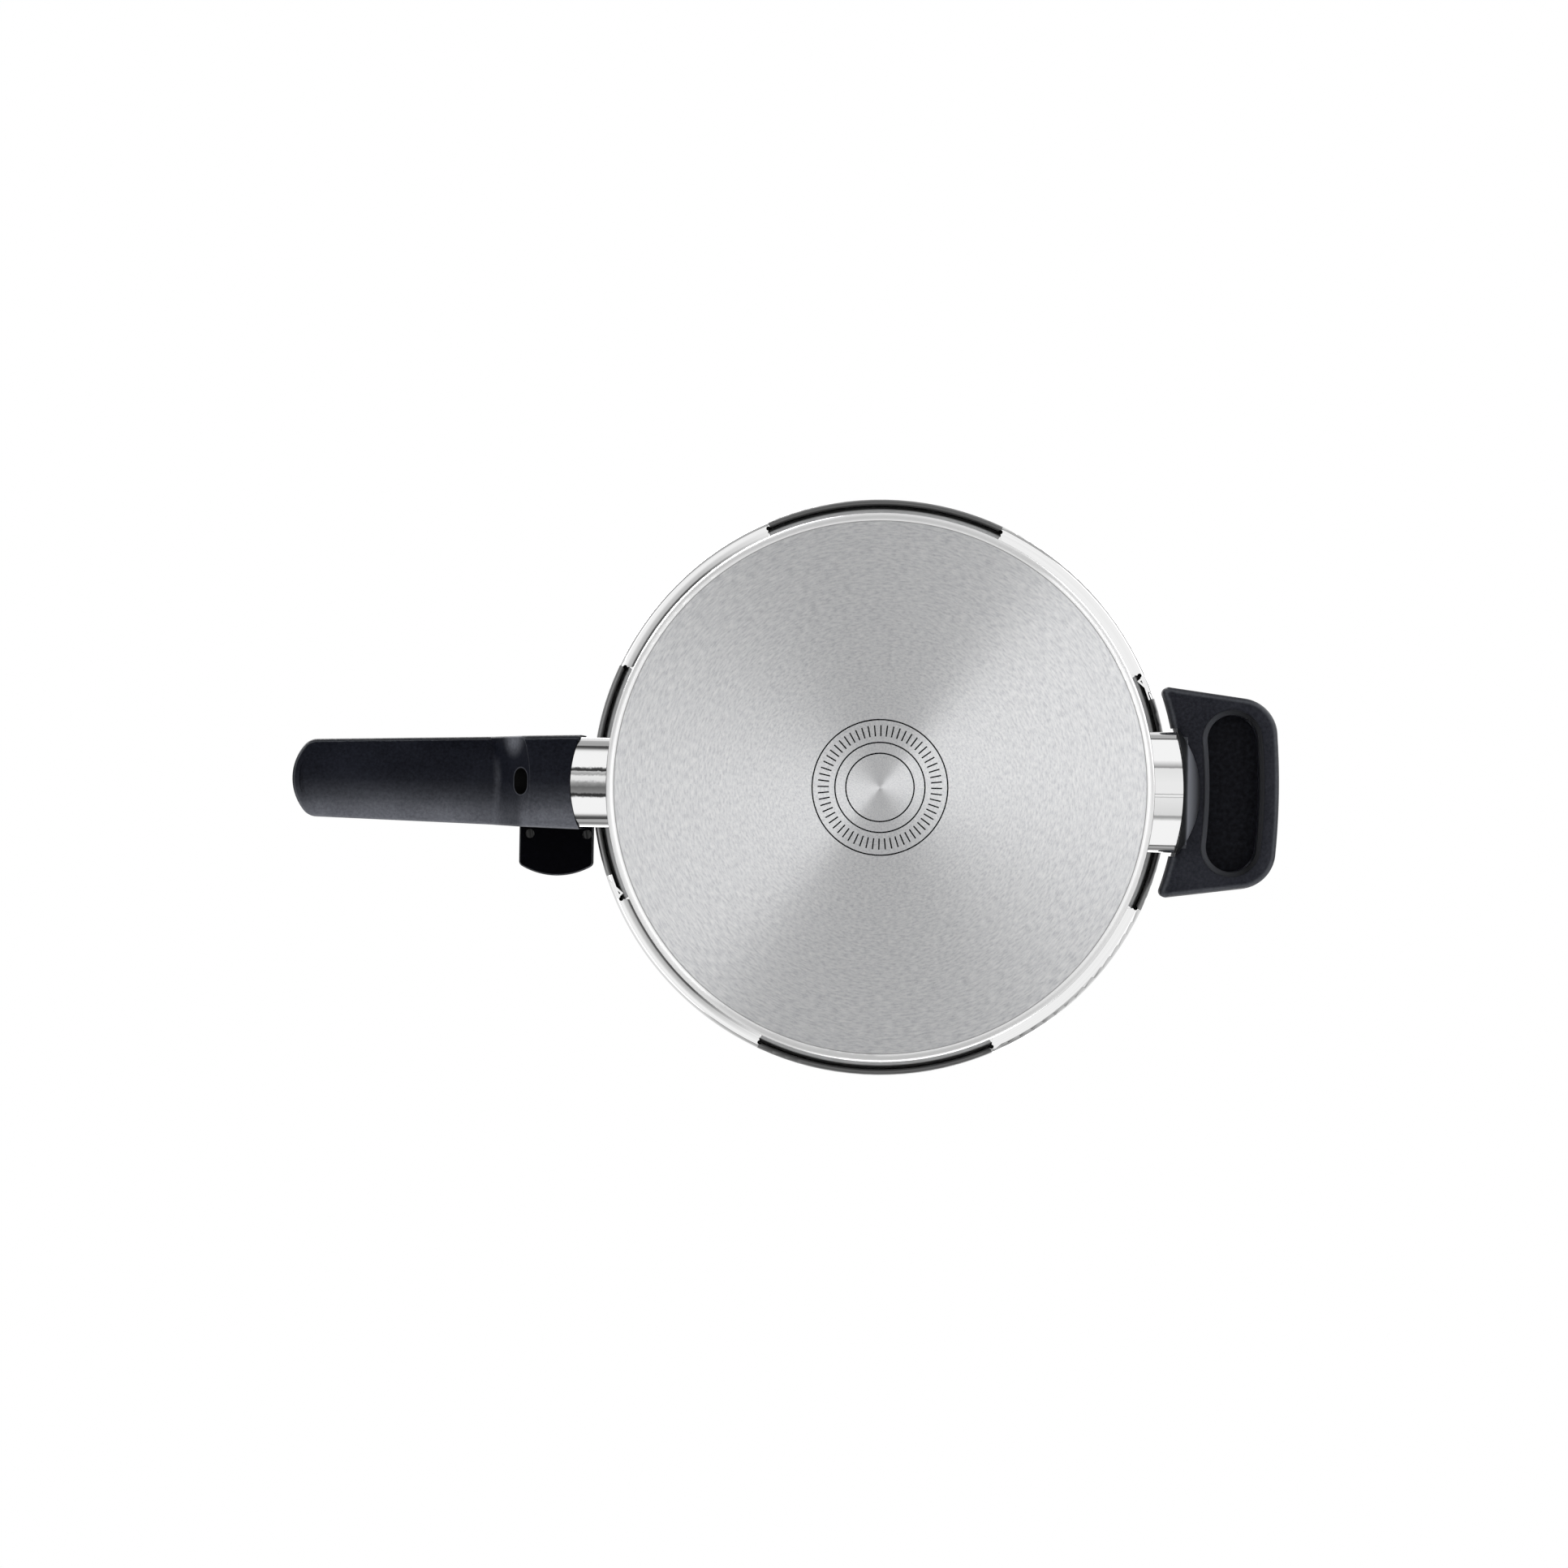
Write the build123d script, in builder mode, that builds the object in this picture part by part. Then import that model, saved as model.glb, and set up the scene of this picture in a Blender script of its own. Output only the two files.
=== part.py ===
from build123d import *
import os
from math import cos, radians, sin

# Stovetop pressure cooker with a bayonet lid, in millimetres.
# The base stands on Z = 0 and the pot's axis is Z. The long handles point along -X,
# the helper handle along +X and the lid handle's side tab along +Y.

os.makedirs("parts", exist_ok=True)

# Driving sizes of the pot and its base
rim_inner_radius = 110.0
wall_taper = 2.0
pot_sheet = 1.2
pot_depth = 121.0
floor_corner = 4.5
rim_bend = 1.0
capsule_sheet = 0.8
core_thickness = 5.2
base_inset = 3.0
capsule_corner = 3.6
capsule_height = 7.0
engraving_depth = 0.15
engraved_line = 0.55
engraved_ring_radii = (26.8, 17.8, 13.5)
tick_count = 60
tick_length = 4.4
tick_radius = 22.4

# Driving sizes of the bayonet and the lid
bayonet_count = 4
lug_reach = 9.6
lug_half_angle = 20.5
lug_corner = 2.0
notch_reach = 3.2
claw_reach = 9.0
claw_half_inner = 19.0
claw_half_outer = 20.7
claw_corner = 2.0
claw_relief = 0.9
hem_gap = 0.8
hem_width = 2.6
bayonet_gap = 0.6
lid_sheet = 1.2
lid_rise = 12.0
dome_run = 31.0
dome_bend = 80.0
valley_width = 5.5
valley_rise = 3.8
valley_bend = 3.0
channel_inset = 1.5
channel_rise = 9.4
channel_inner_bend = 4.0
channel_outer_bend = 6.0
skirt_bend = 2.0
stop_overlap = 1.0
stop_start = -24.0
stop_end = -20.0
stop_sheet = 0.8
gasket_inset = 1.0
gasket_play = 0.5
gasket_foot = 2.0
gasket_gap = 0.35
gasket_notch_count = 7
gasket_notch_radius = 1.7
gasket_notch_start = 20.2

# Driving sizes of the pot handle, its guard, bracket and screw
handle_drop = 4.4
neck_depth = 41.3
neck_crown = 5.0
grip_depth = 19.8
grip_crown = 5.5
handle_reach = 126.0
handle_root_half = 19.8
handle_end_half = 16.4
handle_end_bow = 7.0
handle_end_corner = 7.0
neck_shoulder = 5.0
grip_edge = 4.0
brow_edge = 1.2
slope_reach = 22.7
slope_run = 15.9
guard_reach = 6.0
guard_end_bow = 3.4
guard_half = 18.8
guard_inset = 0.5
guard_top_corner = 4.0
guard_shoulder = 6.0
guard_sheet = 0.8
guard_top_drop = 5.0
guard_channel_half = 5.5
guard_channel_depth = 1.0
guard_channel_slope = 120.0
channel_overcut = 3.0
fit_gap = 0.25
weld_gap = 0.02
wall_reach = 18.0
handle_plug = 9.0
bracket_half = 11.0
bracket_sheet = 2.2
bracket_pad_run = 20.0
bracket_rod_radius = 3.6
bracket_rod_reach = 13.0
bracket_pin_radius = 3.0
bracket_pin_reach = 2.0
handle_screw_radius = 2.0
handle_screw_head = 3.8
handle_screw_rise = 6.2
handle_screw_reach = 20.0
handle_screw_length = 16.0
handle_screw_head_height = 2.6
screw_hole_width = 11.0
screw_hole_height = 8.4
end_groove_inset = 5.0
end_groove_width = 1.6
end_groove_depth = 0.9
handle_edge = 0.8
cross_length = 4.2
cross_width = 1.0
cross_depth = 1.4
thread_fit = 0.05
hole_clearance = 0.1
head_clearance = 0.3

# Driving sizes of the helper handle, its guard, bracket and screw
helper_inner_reach = 2.4
helper_tip_half = 44.8
helper_reach = 44.8
helper_corner_half = 38.4
helper_corner = 16.0
helper_bow = 2.4
helper_top_drop = 9.0
helper_depth = 19.0
helper_edge = 5.0
pocket_reach = 25.65
pocket_bend = 220.0
pocket_half_angle = 5.85
pocket_width = 20.9
pocket_depth = 8.0
pocket_rim = 2.2
pocket_rim_height = 0.9
helper_guard_reach = 3.8
helper_guard_half = 25.3
helper_guard_bow = 3.0
helper_guard_top_drop = 11.5
helper_guard_depth = 23.0
helper_guard_crown = 4.0
helper_guard_shoulder = 5.0
helper_channel_half = 10.5
helper_channel_slope = 148.0
helper_boss_reach = 7.4
helper_boss_half = 27.0
helper_boss_bow = 10.2
helper_boss_edge = 6.0
helper_pad_half = 14.0
helper_pad_inset = 3.6
tongue_drop = 4.6
tongue_half = 9.0
tongue_sheet = 3.0
tongue_reach = 24.0
helper_screw_reach = 18.0
helper_screw_radius = 2.0
helper_screw_head = 4.0
helper_screw_seat = 2.4
helper_screw_head_height = 2.0
helper_screw_length = 7.0

# Driving sizes of the lid handle and what is fixed to it
handle_stack_gap = 0.8
lid_handle_height = 20.4
cover_height = 9.0
cover_end_height = 5.0
cover_crest_bend = 25.0
cover_crest_reach = 24.0
cover_brow_back = 12.0
cover_brow_bend = 120.0
cover_edge = 3.5
seam_edge = 0.6
lid_handle_reach = 121.0
lid_handle_end_half = 15.0
lid_handle_root_reach = 5.0
lid_handle_root_run = 30.0
lid_handle_root_half = 18.2
lid_handle_tip_inset = 28.0
lid_handle_tip_corner = 9.0
lid_handle_tip_half = 13.0
lid_fit_gap = 0.1
ledge_outer_reach = 30.8
ledge_inner_reach = -1.0
ledge_reach = 40.1
ledge_bow = 4.6
ledge_rise = 10.0
tab_sheet = 3.4
tab_screw_reaches = (1.7, 26.2)
tab_screw_y = 22.3
tab_screw_radius = 1.3
tab_screw_head = 1.9
tab_screw_seat = 1.2
tab_screw_length = 7.6
lid_screw_inset = 18.0
lid_screw_y = 7.0
lid_screw_radius = 2.0
lid_screw_head = 3.8
lid_screw_grip = 4.4
lid_seal_radius = 5.5
lid_seal_sheet = 1.5
cover_screw_insets = (46.0, 16.0)
cover_screw_radius = 1.5
cover_screw_head = 2.8
cover_screw_seat = 11.0
cover_screw_length = 13.0

# Driving sizes of the lid lock
slider_travel = 8.0
bolt_travel = 4.8
bolt_reach = 23.0
bolt_radius = 3.5
bolt_fit = 0.05
bolt_head_half = 4.0
bolt_head_width = 5.0
bolt_pocket_radius = 4.0
bolt_pocket_depth = 6.4
lock_floor = 4.0
lock_half = 8.5
slider_gap = 0.4
wedge_gap = 0.15
slider_pad_length = 24.0
slider_pad_half = 8.0
slider_pad_height = 3.6
slider_neck_length = 12.0
slider_neck_half = 3.0
slider_reach = 39.0
flag_length = 20.0
flag_half = 6.0
flag_sheet = 1.0
window_length = 7.0
window_half = 3.5
window_reach = 4.5
bolt_spring_radius = 5.0
bolt_spring_wire = 0.7
bolt_spring_turns = 4
spring_gap = 0.05

# Driving sizes of the regulating valve
valve_flange_radius = 13.0
valve_flange = 2.8
valve_tube_radius = 9.0
valve_tube_rise = 11.8
valve_thread_radius = 8.5
valve_thread_drop = 12.0
valve_bore = 4.1
valve_fit = 0.05
valve_washer = 1.8
valve_nut_flats = 24.0
valve_nut_height = 6.0
stem_collar_radius = 6.5
stem_collar = 1.8
cap_radius = 22.0
cap_clearance = 0.6
cap_wall = 2.2
cap_top = 3.0
cap_rise = 27.8
cap_hub_wall = 3.0
cap_hub_fit = 0.08
cap_flute_count = 18
cap_flute_radius = 2.4
stem_proud = 0.5
valve_spring_radius = 5.3
valve_spring_wire = 0.8
valve_spring_turns = 4

# Driving sizes of the safety valve
safety_x = -26.0
safety_y = 42.0
safety_flange_radius = 9.0
safety_flange = 3.2
safety_dome_radius = 6.5
safety_dome_rise = 8.0
safety_thread_radius = 5.5
safety_thread_drop = 9.0
safety_bore = 2.6
safety_fit = 0.08
safety_ring = 1.6
safety_nut_flats = 15.0
safety_nut_height = 4.4
safety_float_radius = 4.2
safety_float_drop = 5.0
safety_float = 2.0
safety_button_radius = 3.4
safety_button = 2.0

# Radii and places that follow from the sizes above
floor_radius = rim_inner_radius - wall_taper
base_face_radius = floor_radius - base_inset
capsule_radius = base_face_radius + capsule_corner
lug_radius = rim_inner_radius + lug_reach
notch_radius = rim_inner_radius + notch_reach
hem_radius = lug_radius + hem_gap
skirt_radius = hem_radius + hem_width
skirt_inner_radius = skirt_radius - lid_sheet
claw_inner_radius = skirt_radius - claw_reach
stop_radius = lug_radius - stop_overlap
gasket_radius = lug_radius
gasket_inner_radius = rim_inner_radius + gasket_inset
channel_inner_radius = rim_inner_radius - channel_inset
valley_radius = channel_inner_radius - valley_width
lid_flat_radius = valley_radius - dome_run
guard_end = skirt_radius + guard_reach
bracket_pin_end = skirt_radius + bracket_pin_reach
bracket_rod_end = skirt_radius + bracket_rod_reach
handle_screw_seat = skirt_radius + handle_screw_reach
slope_inner = skirt_radius + slope_reach
slope_outer = slope_inner + slope_run
handle_end = skirt_radius + handle_reach
helper_inner_radius = skirt_radius + helper_inner_reach
helper_guard_end = skirt_radius + helper_guard_reach
helper_screw_at = skirt_radius + helper_screw_reach
tongue_end = skirt_radius + tongue_reach
pocket_centre = skirt_radius + pocket_reach
helper_outer = skirt_radius + helper_reach
lid_handle_root = skirt_radius + lid_handle_root_reach
lid_handle_end = skirt_radius + lid_handle_reach
lid_handle_tip = lid_flat_radius - lid_handle_tip_inset
lid_screw_x = lid_flat_radius - lid_screw_inset
ledge_inner = skirt_radius + ledge_inner_reach
ledge_outer = skirt_radius + ledge_outer_reach
tab_screw_x = [skirt_radius + reach for reach in tab_screw_reaches]
cover_screw_x = [lid_handle_end - inset for inset in cover_screw_insets]
window_centre = skirt_radius + window_reach
bolt_x = skirt_radius + bolt_reach
slider_neck_centre = skirt_radius + slider_reach
inside_wall = floor_radius - wall_reach

# Heights that follow from the sizes above
core_top = capsule_sheet + core_thickness
floor_top = core_top + pot_sheet
rim_z = floor_top + pot_depth
claw_top = rim_z - pot_sheet - bayonet_gap
claw_bottom = claw_top - lid_sheet
lid_top = rim_z + lid_rise
lid_under = lid_top - lid_sheet
channel_top = rim_z + channel_rise
handle_top = rim_z - handle_drop
neck_bottom = handle_top - neck_depth
grip_bottom = handle_top - grip_depth
guard_top = handle_top - guard_top_drop
guard_bottom = neck_bottom + guard_inset
helper_top = rim_z - helper_top_drop
helper_bottom = helper_top - helper_depth
lid_handle_bottom = handle_top + handle_stack_gap
lid_handle_top = lid_handle_bottom + lid_handle_height
cover_top = lid_handle_top + cover_height
lock_ceiling = cover_top - 3.4
lock_floor_z = lid_handle_bottom + lock_floor
wedge_slope = bolt_travel / slider_travel
large = 400.0
overshoot = 5.0
from_base = (Align.CENTER, Align.CENTER, Align.MIN)
from_top = (Align.CENTER, Align.CENTER, Align.MAX)


def polar(radius, angle):
    """Point at a radius and an angle in degrees."""
    return (radius * cos(radians(angle)), radius * sin(radians(angle)))


def wall_radius(z):
    """Outer radius of the pot's tapered wall at a height."""
    return floor_radius + pot_sheet + wall_taper * (z - core_top) / (rim_z - core_top)


def axis_distance(edge):
    """Distance of an edge's middle from the pot's axis."""
    return (edge.center().X ** 2 + edge.center().Y ** 2) ** 0.5


def bow_radius(half_chord, bow):
    """Radius of an arc from half its chord and its height."""
    return (half_chord**2 + bow**2) / (2 * bow)


def sheet_profile(points, bends, thickness):
    """Section of a sheet to the right of a path with rounded bends, in the XZ plane."""
    with BuildSketch(Plane.XZ) as profile:
        with BuildLine():
            FilletPolyline(*points, radius=bends)
            offset(amount=thickness, side=Side.RIGHT)
        make_face()
    return profile.sketch


def turned_profile(points, corners, plane=Plane.XZ):
    """Closed section with rounded corners, in the XZ plane or one beside it."""
    with BuildSketch(plane) as profile:
        with BuildLine():
            FilletPolyline(*points, radius=corners, close=True)
        make_face()
    return profile.sketch


def pot_envelope(gap):
    """Section of all that lies inside the pot's outer wall, grown by a gap."""
    low = wall_radius(0.0) + gap
    high = wall_radius(rim_z) + gap
    return turned_profile([(0, 0), (low, 0), (high, rim_z), (0, rim_z)], 0)


def lid_path(gap):
    """Corners of the lid's upper surface from the axis to the skirt, moved outwards by a gap."""
    return [
        (0, lid_top + gap),
        (lid_flat_radius, lid_top + gap),
        (valley_radius, rim_z + valley_rise + gap),
        (channel_inner_radius - gap, channel_top + gap),
        (skirt_radius + gap, channel_top + gap),
    ]


def lid_envelope(gap):
    """Section of all that lies under the lid's upper surface, grown by a gap."""
    points = lid_path(gap) + [(skirt_radius + gap, claw_bottom - 8), (0, claw_bottom - 8)]
    return turned_profile(points, [0, dome_bend, valley_bend, channel_inner_bend, channel_outer_bend, 0, 0])


def crowned_section(x, half_width, top, depth, crown, top_corner=0, shoulder_corner=0):
    """Section of a handle across X: flat top, upright sides and a crowned underside."""
    shoulder = top - depth + crown
    with BuildSketch(Plane.YZ.offset(x)) as section:
        with BuildLine():
            ThreePointArc((-half_width, shoulder), (0, top - depth), (half_width, shoulder))
            Polyline((half_width, shoulder), (half_width, top), (-half_width, top), (-half_width, shoulder))
        make_face()
        if top_corner:
            fillet(section.vertices().group_by(Axis.Y)[-1], top_corner)
        if shoulder_corner:
            fillet(section.vertices().group_by(Axis.Y)[0], shoulder_corner)
    return section.sketch


def long_handle_plan(root, root_half, end, end_half, bow, corner):
    """Outline of a long handle seen from above, tapering to a bowed end."""
    with BuildSketch() as plan:
        with BuildLine():
            Polyline((-end + bow, end_half), (-root, root_half), (-root, -root_half), (-end + bow, -end_half))
            ThreePointArc((-end + bow, end_half), (-end, 0), (-end + bow, -end_half))
        make_face()
        fillet(plan.vertices().group_by(Axis.X)[0], corner)
    return plan.sketch


def block(x_range, y_range, z_range):
    """Box between two corners, for use inside a part."""
    return Pos(x_range[0], y_range[0], z_range[0]) * Box(
        x_range[1] - x_range[0],
        y_range[1] - y_range[0],
        z_range[1] - z_range[0],
        align=(Align.MIN, Align.MIN, Align.MIN),
        mode=Mode.PRIVATE,
    )


# Pot shell: one deep-drawn sheet whose rim is turned out into four lugs
with BuildPart() as pot_shell:
    shell_path = [(0, floor_top), (floor_radius, floor_top), (rim_inner_radius, rim_z), (lug_radius, rim_z)]
    revolve(sheet_profile(shell_path, [floor_corner, rim_bend + pot_sheet], pot_sheet), axis=Axis.Z)
    with BuildSketch(Plane.XY.offset(rim_z - 3)):
        with PolarLocations(0, bayonet_count):
            notch_half = 180 / bayonet_count - lug_half_angle
            Polygon((0, 0), polar(large, -notch_half), polar(large, notch_half), align=None)
        Circle(notch_radius, mode=Mode.SUBTRACT)
    extrude(amount=5, mode=Mode.SUBTRACT)
    lug_ends = pot_shell.edges().filter_by(Axis.Z).filter_by(lambda edge: edge.length < 2 * pot_sheet)
    fillet(lug_ends.filter_by(lambda edge: axis_distance(edge) > lug_radius - 1), lug_corner)
pot_shell.part.label = "pot_shell"
export_step(pot_shell.part, "parts/pot_shell.step")

# Base core: the aluminium disc that spreads the heat
with BuildPart() as base_core:
    core_radius = capsule_radius - capsule_sheet - 0.05
    core_points = [(0, capsule_sheet), (core_radius, capsule_sheet), (core_radius, core_top), (0, core_top)]
    revolve(turned_profile(core_points, [0, capsule_corner - capsule_sheet + 0.1, 0.6, 0]), axis=Axis.Z)
base_core.part.label = "base_core"
export_step(base_core.part, "parts/base_core.step")

# Base capsule: the pressed steel pan under the core, with engraved rings and a ring of plain ticks
with BuildPart() as base_capsule:
    pan_inner = capsule_radius - capsule_sheet
    pan_path = [(pan_inner, capsule_height), (pan_inner, capsule_sheet), (0, capsule_sheet)]
    with BuildSketch(Plane.XZ):
        with BuildLine():
            FilletPolyline(*pan_path, radius=capsule_corner - capsule_sheet)
            offset(amount=capsule_sheet, side=Side.LEFT)
        make_face()
    revolve(axis=Axis.Z)
    with BuildSketch():
        # From the largest ring inwards, because each one clears its own inside
        for ring_radius in engraved_ring_radii:
            Circle(ring_radius + engraved_line / 2)
            Circle(ring_radius - engraved_line / 2, mode=Mode.SUBTRACT)
        with PolarLocations(tick_radius, tick_count):
            Rectangle(tick_length, engraved_line)
    extrude(amount=engraving_depth, mode=Mode.SUBTRACT)
base_capsule.part.label = "base_capsule"
export_step(base_capsule.part, "parts/base_capsule.step")

# Pot handle bracket: a pad welded to the wall with a tapped rod and a locating pin
screw_z = neck_bottom + handle_screw_rise
with BuildPart() as pot_handle_bracket:
    pad_outer = wall_radius(handle_top) + bracket_sheet
    pad_top = guard_top - 4
    add(block((-pad_outer, -pad_outer + bracket_pad_run), (-bracket_half, bracket_half), (screw_z + 0.4, pad_top)))
    with Locations(Plane.YZ.offset(-bracket_rod_end) * Pos(0, screw_z)):
        Cylinder(bracket_rod_radius, bracket_rod_end - pad_outer + 1, align=from_base)
    with Locations(Plane.YZ.offset(-bracket_pin_end) * Pos(0, pad_top - 5)):
        Cylinder(bracket_pin_radius, bracket_pin_end - pad_outer + 1, align=from_base)
    with Locations(Plane.YZ.offset(-bracket_rod_end) * Pos(0, screw_z)):
        Cylinder(handle_screw_radius + thread_fit, handle_screw_length, align=from_base, mode=Mode.SUBTRACT)
    revolve(pot_envelope(weld_gap), axis=Axis.Z, mode=Mode.SUBTRACT)
pot_handle_bracket.part.label = "pot_handle_bracket"
export_step(pot_handle_bracket.part, "parts/pot_handle_bracket.step")

# Pot handle guard: a bright sheet sleeve between the wall and the handle, with a shallow channel underneath
guard_end_radius = bow_radius(guard_half, guard_end_bow)
with BuildPart() as pot_handle_guard:
    guard_depth = guard_top - guard_bottom
    sleeve = crowned_section(
        -guard_end, guard_half, guard_top, guard_depth, neck_crown, guard_top_corner, guard_shoulder
    )
    extrude(sleeve, amount=guard_end - inside_wall)
    channel_floor = guard_bottom + guard_channel_depth
    with BuildSketch(Plane.YZ.offset(-guard_end)):
        with Locations((0, channel_floor)):
            channel_size = (2 * guard_channel_half, channel_overcut, guard_channel_slope)
            Trapezoid(*channel_size, align=(Align.CENTER, Align.MAX), rotation=180)
    extrude(amount=guard_end - inside_wall, mode=Mode.SUBTRACT)
    inner_depth = guard_depth - 2 * guard_sheet - guard_channel_depth
    inner_half = guard_half - guard_sheet
    inner_corner = guard_top_corner - guard_sheet
    inner_shoulder = guard_shoulder - guard_sheet
    hollow = crowned_section(
        -guard_end, inner_half, guard_top - guard_sheet, inner_depth, neck_crown, inner_corner, inner_shoulder
    )
    extrude(hollow, amount=guard_end - inside_wall, mode=Mode.SUBTRACT)
    with BuildSketch(Plane.XY.offset(guard_bottom - overshoot)):
        with Locations((-guard_end + guard_end_radius, 0)):
            Circle(guard_end_radius)
    extrude(amount=guard_depth + 2 * overshoot, mode=Mode.INTERSECT)
    revolve(pot_envelope(weld_gap), axis=Axis.Z, mode=Mode.SUBTRACT)
pot_handle_guard.part.label = "pot_handle_guard"
export_step(pot_handle_guard.part, "parts/pot_handle_guard.step")

# Neck of the pot handle, which is added to the grip below: a deep block whose outer end is a sloped step
handle_root = guard_end - guard_end_bow - 1
handle_plan = long_handle_plan(
    handle_root, handle_root_half, handle_end, handle_end_half, handle_end_bow, handle_end_corner
)
section_half = handle_root_half + 0.5
with BuildPart() as handle_neck:
    slope_rise = grip_bottom - neck_bottom
    slope_back_rise = grip_crown + overshoot
    slope_end = slope_outer + slope_back_rise * slope_run / slope_rise
    neck_section = crowned_section(-slope_end, section_half, handle_top, neck_depth, neck_crown)
    extrude(neck_section, amount=slope_end - handle_root)
    with BuildSketch(Plane.XY.offset(neck_bottom - overshoot)):
        add(handle_plan)
    extrude(amount=neck_depth + 2 * overshoot, mode=Mode.INTERSECT)
    shoulder_edges = handle_neck.edges().filter_by(lambda edge: edge.length > slope_run)
    shoulder_edges = shoulder_edges.filter_by(lambda edge: abs(edge.center().Y) > handle_root_half / 2)
    fillet(shoulder_edges.group_by(Axis.Z)[0], neck_shoulder)
    with BuildSketch(Plane.XZ):
        with BuildLine():
            low = neck_bottom - slope_rise
            slope_top = (-slope_end, grip_bottom + slope_back_rise)
            Polyline(slope_top, (-slope_inner + slope_run, low), (-slope_end, low), close=True)
        make_face()
    extrude(amount=handle_root_half + overshoot, both=True, mode=Mode.SUBTRACT)
    brow_edges = handle_neck.edges().filter_by(lambda edge: edge.center().X > -slope_outer + 1)
    brow_edges = brow_edges.filter_by(lambda edge: edge.center().X < -slope_inner + 1)
    fillet(brow_edges.filter_by(lambda edge: edge.center().Z < neck_bottom + neck_crown), brow_edge)

# Pot handle: moulded grip with the neck, the screw's access hole and a pocket for the lock bolt
with BuildPart() as pot_handle:
    grip_section = crowned_section(-handle_end - 1, section_half, handle_top, grip_depth, grip_crown)
    extrude(grip_section, amount=handle_end - handle_root)
    with BuildSketch(Plane.XY.offset(grip_bottom - overshoot)):
        add(handle_plan)
    extrude(amount=grip_depth + 2 * overshoot, mode=Mode.INTERSECT)
    under_edges = pot_handle.edges().filter_by(lambda edge: edge.center().Z < handle_top - grip_depth / 2)
    under_edges = under_edges.filter_by(lambda edge: edge.center().X < -handle_root - 2)
    fillet(under_edges.filter_by(Axis.Z, reverse=True), grip_edge)
    add(handle_neck.part)
    with BuildSketch(Plane.XY.offset(neck_bottom - overshoot)):
        with Locations((-guard_end + guard_end_radius, 0)):
            Circle(guard_end_radius + fit_gap)
    extrude(amount=neck_depth + 2 * overshoot, mode=Mode.SUBTRACT)
    fillet(pot_handle.faces().sort_by(Axis.Z)[-1].outer_wire().edges(), handle_edge)
    plug_depth = guard_depth - 2 * guard_sheet - guard_channel_depth - 2 * fit_gap
    plug_half = guard_half - guard_sheet - fit_gap
    plug_top = guard_top - guard_sheet - fit_gap
    plug_corner = guard_top_corner - guard_sheet - fit_gap
    plug_shoulder = guard_shoulder - guard_sheet - fit_gap
    plug = crowned_section(
        -guard_end - 2, plug_half, plug_top, plug_depth, neck_crown, plug_corner, plug_shoulder
    )
    extrude(plug, amount=handle_plug + 2)
    with Locations(Plane.YZ.offset(-bracket_rod_end - 0.5) * Pos(0, screw_z)):
        Cylinder(bracket_rod_radius + fit_gap, guard_end - inside_wall, align=from_base, mode=Mode.SUBTRACT)
    with Locations(Plane.YZ.offset(-bracket_pin_end - 0.5) * Pos(0, guard_top - 9)):
        Cylinder(bracket_pin_radius + fit_gap, guard_end - inside_wall, align=from_base, mode=Mode.SUBTRACT)
    with Locations(Plane.YZ.offset(-handle_screw_seat - 1) * Pos(0, screw_z)):
        screw_hole = handle_screw_radius + hole_clearance
        Cylinder(screw_hole, handle_screw_length, align=from_base, mode=Mode.SUBTRACT)
    with BuildSketch(Plane.YZ.offset(-handle_screw_seat)):
        with Locations((0, screw_z)):
            SlotOverall(screw_hole_width, screw_hole_height)
    extrude(amount=-2 * slope_run, mode=Mode.SUBTRACT)
    with Locations((-bolt_x, 0, handle_top)):
        Cylinder(bolt_pocket_radius, 2 * bolt_pocket_depth, mode=Mode.SUBTRACT)
    with BuildSketch(Plane.XY.offset(neck_bottom)):
        groove_radius = bow_radius(handle_end_half, handle_end_bow)
        with Locations((-handle_end + groove_radius, 0)):
            Circle(groove_radius - end_groove_inset + end_groove_width)
            Circle(groove_radius - end_groove_inset, mode=Mode.SUBTRACT)
        with Locations((-handle_end + groove_radius, 0)):
            Rectangle(large, large, align=(Align.MIN, Align.CENTER), mode=Mode.SUBTRACT)
    extrude(amount=grip_bottom + end_groove_depth - neck_bottom, mode=Mode.SUBTRACT)
pot_handle.part.label = "pot_handle"
export_step(pot_handle.part, "parts/pot_handle.step")

# Pot handle screw: driven along the handle into the bracket's rod
with BuildPart() as pot_handle_screw:
    with Locations(Plane.YZ.offset(-handle_screw_seat) * Pos(0, screw_z)):
        Cylinder(handle_screw_radius, handle_screw_length, align=from_base)
        Cylinder(handle_screw_head, handle_screw_head_height, align=from_top)
    fillet(pot_handle_screw.faces().sort_by(Axis.X)[0].edges(), 0.8)
    with BuildSketch(Plane.YZ.offset(-handle_screw_seat - handle_screw_head_height)):
        with Locations((0, screw_z)):
            Rectangle(cross_length, cross_width)
            Rectangle(cross_width, cross_length)
    extrude(amount=cross_depth, mode=Mode.SUBTRACT)
pot_handle_screw.part.label = "pot_handle_screw"
export_step(pot_handle_screw.part, "parts/pot_handle_screw.step")

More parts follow.
